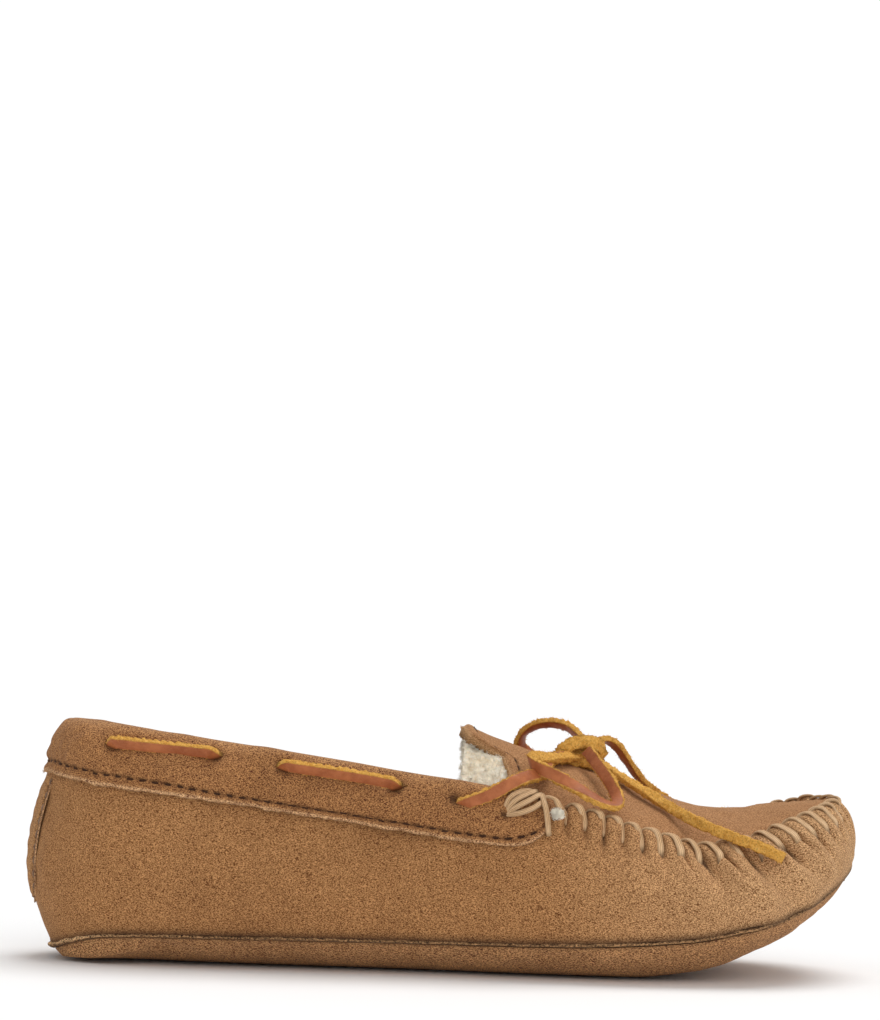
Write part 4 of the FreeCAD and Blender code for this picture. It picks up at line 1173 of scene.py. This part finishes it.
def running_stitches(name, line, ways, nodes, body, finish=BROWN_THREAD, seed=3):
    """A row of short round-ended stitches along a line of points with a facing for each point."""
    batch = Batch()
    random = np.random.default_rng(seed)
    runs = runs_of(line)
    count, around, sag = int(runs[-1] / FINE_PITCH), 10, 0.3
    section = strip_section(FINE_THREAD, FINE_THREAD * 0.9, around, 0.8)
    t = np.linspace(-1, 1, 9)[:, None]
    taper = np.sqrt(np.clip(1 - t[:, 0] ** 4, 0.06, 1))
    for k in range(count):
        middle = (k + 0.5) * runs[-1] / count
        reach = FINE_PITCH * STITCH_SHARE / 2 * random.uniform(0.85, 1.1)
        ends = columns_at((middle - reach, middle + reach), runs, line)
        way = unit(columns_at([middle], runs, ways))
        shift = random.normal(size=3) * 0.04
        start, end = ends + (shift, -shift)
        path = mix(start, end, (t + 1) / 2) - way * sag * t ** 2
        grid = sweep(path, np.broadcast_to(way, path.shape), section, taper)
        uv = stacked(np.arange(around)[None] / around * 3, (t + 1) / 2 * np.linalg.norm(end - start))
        batch.add(grid, capped(grid), uv=uv)
    batch.piece(name, finish, body, "sewing_thread", nodes)


def collar_stitches():
    last, first = (ring_at(COLLAR_FRONT - 1.5, side) for side in (0, 1))
    rings = np.linspace(first, last, len(COLLAR_GRID))
    above = np.linalg.norm(COLLAR_GRID - COLLAR_GRID[:, :1], axis=-1)[:, :40]
    column = np.argmin(np.abs(above - lip_height(plan_x(rings))[:, None]), axis=1)
    rows = np.arange(6, len(COLLAR_GRID) - 6)
    line, ways = (table[rows, column[rows]] for table in (COLLAR_GRID, COLLAR_NORMAL))
    running_stitches("collar_running_stitch", line + ways * 0.12, ways, ["collar_stitches"], "shoe")


collar_stitches()


def lace_collar_run():
    """The lace where it shows between the collar's slits, and the ends where it turns in."""
    rings = np.linspace(ring_at(LACE_EXIT, 1), ring_at(LACE_EXIT, 0), 900)
    x = plan_x(rings)
    shown = lace_shown(x)
    path = wall_down(rings, curve(LACE_DEPTH, x), mix(1.1, 6.2, shown))
    facing = wall_normal(rings, 0.93) - 1.1 * UP
    rough = (0.14, 1.1, 31), (0.1, 2.6, 32)
    grid, brown = lace_surface(path, facing, (0.35, 0.7), (0.86, 0.99), rough)
    # Painted shadow on the lace where it runs hidden inside the collar, seen in the slits.
    shade = np.broadcast_to((1 - smooth(0.25, 0.8, shown))[:, None], brown.shape)
    piece("lace_collar_run_strip", grid, capped(grid), LACE, "shoe", "lace_leather",
          ["lace_collar_run"], face=brown, shade=shade)
    seen = shown > 0.6
    lace_fuzz(grid[seen], 77, 0.035, 0.6)


lace_collar_run()
LACE_FUZZ.piece("lace_edge_fibres", LACE, "shoe", "lace_leather")


# ---------------------------------------------------------------- bar tacks
def bar_tack(name, side):
    """Strands of waxed thread from one hole in the collar up to the plug, and crossing upright ones."""
    batch = Batch()
    hole = ring_at(TACK_HOLE_X + 0.4, side)
    normal = wall_normal(hole, 0.8)
    low = wall_down(hole, TACK_HOLE_DEPTH - 0.8, 1.9)
    # Each strand's upper end (x, depth, out) and how far it bows out.
    tops = [(25.2, -1.2, 0.6, 2.4), (26.8, -1.4, 0.8, 2.9), (28.4, -1.0, 1.0, 3.1),
            (29.6, 0.6, 1.2, 2.8)]
    for k, (x, depth, out, bow) in enumerate(tops):
        ring = ring_at(x, side)
        top = wall_down(ring, depth, out)
        shift = unit(np.cross(top - low, normal)) * (-1 if side else 1) * (k - 1.5)
        start = low + shift * 0.45
        middle = [mix(start, top, 0.35) + normal * bow + shift * 1.05,
                  mix(start, top, 0.7) + normal * bow * 0.8 + shift * 0.9]
        sunk = top - wall_normal(ring, 0.9) * 1.8 - UP * 0.9
        band(batch, [start - normal * 1.6, start, *middle, top, sunk], [normal] * 3, 1.7, 0.9)
    places = ((28.9, -0.6, 1.2), (30.4, 4.6, 3.7), (31.4, 9.6, 2.2))
    high, middle, foot = (wall_down(ring_at(x, side), depth, out) for x, depth, out in places)
    upright = [high - normal * 1.2, high + normal * 0.6, middle, foot, foot - normal * 1.8]
    band(batch, upright, [normal] * 3, 1.7, 0.85)
    batch.piece(f"{name}_thread", WAXED, "shoe", "waxed_thread", [name])


for at_side, side_name in enumerate(SIDES):
    bar_tack(f"bar_tack_{side_name}", at_side)


# ---------------------------------------------------------------- heel patch
PATCH_SEAM = 1.1  # distance of the patch's stitching from its edge


def patch_half_width(z):
    rounding = 1 - np.maximum(0.0, (PATCH_BOTTOM + 9 - z) / 9.6) ** 2
    return mix(13.5, 16.5, smooth(30, PATCH_TOP, z)) * np.sqrt(np.maximum(rounding, 0.0))


def heel_patch():
    z = np.r_[np.linspace(PATCH_BOTTOM, PATCH_BOTTOM + 4, 12, endpoint=False),
              np.linspace(PATCH_BOTTOM + 4, PATCH_TOP, 60)][:, None]
    share = np.sin(np.linspace(-np.pi / 2, np.pi / 2, 71))[None]
    half = patch_half_width(z)
    ring = share * half / SIDE_LENGTH
    inside = np.minimum((1 - np.abs(share)) * half, np.maximum(z - PATCH_BOTTOM, 0) * 0.9)
    point, _, normal = wall_frame(ring, rise_at_height(ring, z))
    wave = ripples(point, (0.12, 6, 21), (0.2, 22, 22))
    seam = bell(inside - PATCH_SEAM, 0.5)
    crown = 0.55 + 0.55 * smooth(0.3, 5, inside)
    outer = pushed(point, normal, crown - 0.25 * seam + wave * smooth(0, 3, inside))
    outer[..., 2] += ripple(point, 4, 23) * 0.25 * bell(inside, 0.8)
    # Painted shade along the stitching's groove; the raw edge is paler.
    piece("heel_patch_suede", *shell(outer, point + normal * 0.1), PATCH_SUEDE, "shoe", "patch_suede",
          ["heel_patch"], edge=both_sides(bell(inside, 0.8)), shade=both_sides(0.7 * seam))


heel_patch()


def heel_patch_stitches():
    """One row up both sides of the patch and round its lower end."""
    up = np.linspace(21.0, PATCH_TOP - 0.5, 60)
    share_up = 1 - PATCH_SEAM / patch_half_width(up)
    turn = np.linspace(-1, 1, 24)[1:-1]
    share = np.r_[-share_up[::-1], turn * share_up[0], share_up]
    z = np.r_[up[::-1], PATCH_BOTTOM + 1.4 + 2.6 * turn ** 2, up]
    ring = share * patch_half_width(z) / SIDE_LENGTH
    point, _, normal = wall_frame(ring, rise_at_height(ring, z))
    running_stitches("heel_patch_running_stitch", point + normal * 0.55, normal,
                     ["heel_patch_stitches"], "shoe", PATCH_THREAD, 9)


heel_patch_stitches()


def tongue_stitches():
    """One row across the tongue's hem and forward along its sides."""
    rear = np.linalg.norm(TOP_GRID - TOP_GRID[:1], axis=-1)
    columns = np.arange(6, TOP_GRID.shape[1] - 6)
    line = TOP_GRID[np.argmin(np.abs(rear[:60] - HEM_SEAM), axis=0)[columns], columns]
    running_stitches("tongue_hem_stitch", line + UP * 0.1, np.broadcast_to((0.1, 0.0, 1.0), line.shape),
                     ["tongue_stitches"], "tongue", seed=4)


tongue_stitches()


# ---------------------------------------------------------------- sole
def seam_pair(share, inset):
    """The two plan points across from each other, inset from the sole seam."""
    return [pushed(outline(ring), outward(ring), -curve(SEAM_INSET, plan_x(ring)) - inset)
            for ring in (share, 2 - share)]


SOLE_INSET = 0.3
PAD_INSET = 7.0
PAD_SHARES = np.linspace(0.075, 0.95, 120)
PAD_LIFT = SOLE_SUEDE + 3 * GAP
SOCK_LIFT = PAD_LIFT + FOAM + GAP
PAD_ACROSS = np.linspace(-1, 1, 71)
HEEL_X, TOE_X = (float(seam_pair(share, 0)[0][0]) for share in (0.0001, 0.9999))


def sole_point(share, u, inset, lift, wall_thickness=SOLE_SUEDE):
    """Point of a layer of the sole, across the shoe from u -1 to 1. Its middle is lifted by lift."""
    share, u = np.broadcast_arrays(share, u)
    one, two = seam_pair(share, inset)
    t = (u + 1) / 2
    plan = one + (two - one) * t[..., None]
    side = np.linalg.norm(two - one, axis=-1) / 2 * (1 - np.abs(u)) + inset
    end = np.minimum(plan[..., 0] - HEEL_X, TOE_X - plan[..., 0]) * 1.1
    near = np.where((side > 0) & (end > 0), side * end / np.hypot(side, np.where(end == 0, 1, end)), 0)
    curl = np.clip(1 - (np.maximum(near, 0) - wall_thickness) / SOLE_ROUNDING, 0, 1) ** 2.3
    bottom = curve(SOLE_HEIGHT, plan[..., 0])
    seam = mix(wall_span(share)[0], wall_span(2 - share)[0], t)
    return np.concatenate([plan, mix(bottom + lift, seam - WELT / 2 - 0.05, curl)[..., None]], -1)


def sole_layer(name, low, high, finish, slot, nodes, shares, across, shade=None):
    """A closed form between two surfaces over (share, u)."""
    share, u = np.meshgrid(shares, across, indexing="ij")
    points, faces = shell(high(share, u), low(share, u))
    values = {"shade": shade(points)} if shade else {}
    return piece(name, points, faces, finish, "shoe", slot, nodes, **values)


def sole():
    shares = np.r_[0.010, 0.016, 0.024, 0.034, np.linspace(0.045, 0.955, 180),
                   0.966, 0.976, 0.984, 0.990]
    across = np.sin(np.linspace(-np.pi / 2, np.pi / 2, 121))
    # Painted shade: a dark line along the sole's top edge below the welt.
    seam = 0.3 * smooth(0.975, 0.995, np.abs(across))

    def low(s, u):
        found = sole_point(s, u, SOLE_INSET, 0.0, 0.0)
        near = (1 - np.abs(u)) * 40
        inner = np.minimum(near, found[..., 0] - HEEL_X)
        found[..., 2] *= 1 - 0.75 * (1 - smooth(-112, -84, found[..., 0])) * smooth(0, 5, inner)
        dents = ripples(found, (0.30, 22, 24), (0.12, 8, 25))
        dents = dents * smooth(0.5, 6, found[..., 2]) * smooth(0, 4, near)
        found[..., 2] = np.maximum(found[..., 2] + dents, 0.0)
        return found

    # Painted shade: darker toward the floor, and along the seam.
    sole_layer("outsole_suede", low, lambda s, u: sole_point(s, u, SOLE_INSET + SOLE_SUEDE, SOLE_SUEDE),
               SOLE_SUEDE_FINISH, "sole_suede", ["outsole"], shares, across,
               lambda points: np.maximum(0.55 * (1 - smooth(-0.5, 2.0, points[..., 2])), seam))


sole()


def pads():
    """Foam midsole and fleece sock."""
    def sock_top(s, u):
        found = sole_point(s, u, PAD_INSET, SOCK_LIFT + SOCK_PILE)
        found[..., 2] += ripples(found, (0.35, 5, 26), (0.3, 14, 27)) - 0.2
        return found

    for name, lift, high, finish, slot, node, fill in (
            ("midsole_foam", PAD_LIFT, lambda s, u: sole_point(s, u, PAD_INSET, PAD_LIFT + FOAM),
             FOAM_FINISH, "foam", "midsole_pad", 0.9),
            ("insole_fleece_pad", SOCK_LIFT, sock_top, FLEECE, "fleece", "insole_fleece", 0.5)):
        pad = sole_layer(name, lambda s, u: sole_point(s, u, PAD_INSET, lift), high, finish, slot,
                         [node], PAD_SHARES, PAD_ACROSS)


pads()


def welt():
    """Thin raw-edged strip caught in the sole seam, wider at the back of the heel."""
    rings = np.linspace(0, 2, 900, endpoint=False)[:, None]
    x = plan_x(rings)
    way = np.concatenate([outward(rings), 0 * rings[..., None]], -1)
    foot = np.concatenate([outline(rings), wall_span(rings)[0][..., None]], -1)
    proud = 0.85 + 1.3 * (1 - smooth(-128, -104, x)) - 0.7 * smooth(118, 130, x)
    angle = np.linspace(-np.pi, np.pi, 12, endpoint=False)[None]
    grid = pushed(foot, way, mix(-1.4, proud, 0.5 + 0.5 * np.cos(angle)) - curve(SEAM_INSET, x))
    grid[..., 2] += np.sin(angle) * 0.78
    tip = smooth(0.2, 1.0, np.cos(angle))
    grid = pushed(grid, way, ripples(grid, (0.12, 2.2, 28), (0.12, 7, 29)) * tip)
    grid[..., 2] += tip * (0.16 * ripple(grid, 5, 30) + 0.5 * (1 - smooth(-128, -108, x)))
    at_heel = 1 - smooth(-118, -96, x)
    edge = smooth(0.6, 1.0, np.cos(angle)) * mix(0.25, 0.8, at_heel)
    # Painted shade on the welt's tucked-in half and in the crease along its top, except at the heel.
    upper = 0.9 * smooth(-0.3, 0.4, np.sin(angle)) * (1 - at_heel)
    shade = np.maximum(1 - smooth(0.1, 0.9, np.cos(angle)), upper)
    piece("sole_welt_strip", grid, grid_faces(*grid.shape[:2], True, True), WELT_SUEDE, "shoe",
          "welt_suede", ["sole_welt"], edge=edge, shade=shade)


welt()


# ---------------------------------------------------------------- fleece linings
def lining_grid(rings, top_depth):
    """Pile side and wall side of a lining, and the vectors from the second to the first."""
    low, high = wall_span(rings)
    first, last = LINING_FOOT / (high - low), 1 - top_depth(plan_x(rings)) / (high - low)
    rise = mix(first[:, None], last[:, None], np.linspace(0, 1, 64)[None])
    outer, grid = (wall_at(rings[:, None], rise, -(SUEDE + GAP + pile)) for pile in (0, PILE))
    inwards = unit(grid - outer)
    return pushed(grid, inwards, ripples(grid, (0.35, 4.5, 33), (0.25, 2.2, 34)) - 0.25), outer, inwards


def lining(name, rings, top_depth, node):
    grid, outer, inwards = lining_grid(rings, top_depth)
    points = np.concatenate([outer[:, :1], grid, outer[:, :0:-1]], 1)
    faces = grid_faces(*points.shape[:2], close_columns=True)
    piece(name, points, faces, FLEECE, "shoe", "fleece", [node])
    return grid, inwards


SPLIT = [ring_at(LINING_SPLIT, side) for side in (0, 1)]
QUARTER_GRID, QUARTER_WAYS = lining("quarter_lining_fleece", np.linspace(SPLIT[1], SPLIT[0], 400),
                                    lambda x: QUARTER_TOP, "quarter_lining")
lining("vamp_lining_fleece", np.linspace(SPLIT[0] + 0.0015, 2 + SPLIT[1] - 0.0015, 300),
       lambda x: mix(13.6, 8.0, smooth(22, 36, x)), "vamp_lining")


def roof_lining():
    """Fleece below the plug."""
    rows = through_rows(plug_rows(ROOF_END), 150)
    half = np.linalg.norm(rows[:, 1] - rows[:, 0], axis=1)[:, None] / 2
    u = np.linspace(-1, 1, 81)[None] * (np.maximum(half - 3.0, half * 0.3) / half)
    top = arch(rows[:, None], u) - UP * (SUEDE + GAP)
    low = top - UP * PILE
    low[..., 2] += ripples(low, (0.35, 4.5, 35), (0.2, 2.2, 36))
    sheet = shell(top, low, sides=False)
    piece("plug_lining_fleece", *sheet, FLEECE, "shoe", "fleece", ["plug_lining"])


roof_lining()


def tongue_lining():
    """Fleece below the tongue: it reaches further back than the suede's sides, with a fluffy edge."""
    rear = row_of(LINING_REAR) + ((-0.4, 0, -2.2), (2.5, 0, 0), (0, 0, 0))
    fold = row_of(LINING_FOLD)
    rows, columns = 70, 101
    u = np.broadcast_to(np.linspace(-1, 1, columns), (rows, columns))
    top = arch(through_rows([rear, mix(rear, fold, 0.5), fold], rows)[:, None], u)
    normal = upward_normals(top)
    lump = ripples(top, (0.45, 4.5, 37), (0.3, 2.0, 38))
    upper, low = pushed(top, normal, lump * 0.6), pushed(top, normal, -PILE - lump)
    points, faces = shell(upper, low)
    piece("tongue_lining_fleece", points, faces, FLEECE, "tongue", "fleece", ["tongue_lining"])

    batch = Batch()
    random = np.random.default_rng(41)
    upper, low, normal = (table.reshape(-1, 3) for table in (upper, low, normal))
    pick = random.integers(0, rows * columns, 2200)
    pick = pick[upper[pick, 0] < 21]
    curly(batch, upper[pick], normal[pick], 0.9, 42)
    pick = random.integers(0, rows * columns, 1800)
    curly(batch, low[pick], -normal[pick], 1.2, 43)
    rim = np.concatenate([points[:2], points[-2:]]).reshape(-1, 3)
    hem = TOP_GRID[0, 8:-8] + (1.0, 0, -2.4)
    for edge, count, way, spread, length, seed in ((rim, 700, (-1.0, 0, 0.1), 0.5, 1.3, 44),
                                                   (hem, 1500, (-0.9, 0, -0.6), 0.45, 1.5, 40)):
        pick = random.integers(0, len(edge), count)
        curly(batch, edge[pick], unit(way + random.normal(size=(count, 3)) * spread), length, seed)
    batch.piece("tongue_lining_pile", PILE_FIBRE, "tongue", "fleece")


tongue_lining()


def quarter_pile():
    """Curled fibres on the fleece that shows through the foot opening."""
    random = np.random.default_rng(45)
    batch = Batch()
    roots, ways = QUARTER_GRID.reshape(-1, 3), QUARTER_WAYS.reshape(-1, 3)
    pick = random.integers(0, len(roots), 5200)
    curly(batch, roots[pick], ways[pick], 1.3, 46)
    share, u = random.uniform(0.08, 0.62, 3200), random.uniform(-1, 1, 3200)
    roots = sole_point(share, u, PAD_INSET, SOCK_LIFT + SOCK_PILE - 0.2)
    curly(batch, roots, np.broadcast_to(UP, roots.shape), 1.3, 47)
    batch.piece("lining_pile", PILE_FIBRE, "shoe", "fleece")


quarter_pile()


def fleece_tuft(name, side):
    """Tuft of fleece that pushes out beside the first whip stitch."""
    batch = Batch()
    random = np.random.default_rng(48 + side)
    ring = ring_at(33.4, side)
    centre = wall_down(ring, 3.0, 1.5)
    radii = np.array((2.1, 1.3, 1.6))
    turn = np.linspace(0, 2 * np.pi, 24, endpoint=False)
    tilt = np.linspace(0.02, np.pi - 0.02, 14)[:, None]
    ball = stacked(np.cos(turn) * np.sin(tilt), np.sin(turn) * np.sin(tilt), np.cos(tilt)) * radii
    batch.add(centre + ball * (1 + 0.16 * ripple(ball, 1.8, 50 + side))[..., None], capped(ball))
    way = unit(random.normal(size=(180, 3)) + wall_normal(ring, 0.85) * 0.9)
    curly(batch, centre + way * radii * 0.9, way, 0.9, 49 + side, 0.2)
    batch.piece(name, PILE_FIBRE, "shoe", "fleece")


for at_side, side_name in enumerate(SIDES):
    fleece_tuft(f"fleece_tuft_{side_name}", at_side)


# ---------------------------------------------------------------- loose fibres on raw suede edges
def edge_fibres():
    shoe, tongue = Batch(), Batch()
    random = np.random.default_rng(51)

    def along(batch, points, ways, count, length):
        pick = random.integers(0, len(points), count)
        way = unit(np.broadcast_to(ways, points.shape)[pick] + random.normal(size=(count, 3)) * 0.6)
        shift = random.normal(size=(count, 3)) * 0.15
        fibres(batch, points[pick] + shift, way, length, 0.1, int(random.integers(1e6)), 0.7)

    first, second = COLLAR_NORMAL[:, 0], COLLAR_NORMAL[:, 1]
    along(shoe, COLLAR_GRID[:, 0], first * 0.6 - UP, 1500, 0.7)
    along(shoe, COLLAR_GRID[:, 1] - second * 0.8, first * 0.3 - UP, 900, 0.6)
    along(shoe, vamp_surface(stitch_ring(np.linspace(-0.4, LAST + 0.4, 900)), -0.4)[0], UP, 1300, 0.5)
    along(tongue, TOP_GRID[0], (-1.0, 0.0, -0.2), 500, 0.6)
    along(tongue, TOP_GRID[:45, 0], (-0.6, -0.6, -0.2), 200, 0.6)
    along(tongue, TOP_GRID[:45, -1], (-0.6, 0.6, -0.2), 200, 0.6)
    shoe.piece("suede_edge_fibres", FIBRE_SUEDE, "shoe", "suede")
    tongue.piece("tongue_edge_fibres", FIBRE_SUEDE, "tongue", "suede")


edge_fibres()


# ---------------------------------------------------------------- floor and light
def floor():
    n = Nodes("floor", 0.9)
    mesh = bpy.data.meshes.new("floor")
    reach = 60.0
    corners = [(-reach, -reach, 0), (reach, -reach, 0), (reach, reach, 0), (-reach, reach, 0)]
    mesh.from_pydata(corners, [], [(0, 1, 2, 3)])
    mesh.materials.append(n.finish(linear(250, 250, 250), n.bump(n.noise(0.002), 0.00005, 0.3)))
    made = linked("floor", mesh)
    made.location.z = -0.0004


def sun(name, towards, spread, strength):
    """Broad soft light from the given direction; spread is the width of its disc in degrees."""
    data = bpy.data.lights.new(name, "SUN")
    data.energy = strength
    data.angle = math.radians(spread)
    lamp = linked(name, data)
    lamp.rotation_mode = "QUATERNION"
    lamp.rotation_quaternion = Vector(towards).to_track_quat("Z", "Y")


AMBIENT, BACKDROP = 0.40, 1.05  # the white surround, as light and as seen behind the shoe


def studio():
    world = bpy.data.worlds.new("studio")
    world.use_nodes = True
    tree = world.node_tree
    background = tree.nodes["Background"]
    background.inputs["Color"].default_value = (1, 1, 1, 1)
    seen = tree.nodes.new("ShaderNodeLightPath").outputs["Is Camera Ray"]
    strength = tree.nodes.new("ShaderNodeMapRange")
    strength.inputs["To Min"].default_value = AMBIENT
    strength.inputs["To Max"].default_value = BACKDROP
    tree.links.new(seen, strength.inputs["Value"])
    tree.links.new(strength.outputs["Result"], background.inputs["Strength"])
    bpy.context.scene.world = world
    bpy.context.scene.view_settings.view_transform = "Standard"
    sun("overhead", (0.2, 0.2, 1.0), 40, 1.7)
    sun("front", (0.5, -0.8, 0.55), 70, 0.9)
    sun("fill", (-0.85, -0.4, 0.35), 80, 0.3)


floor()
studio()
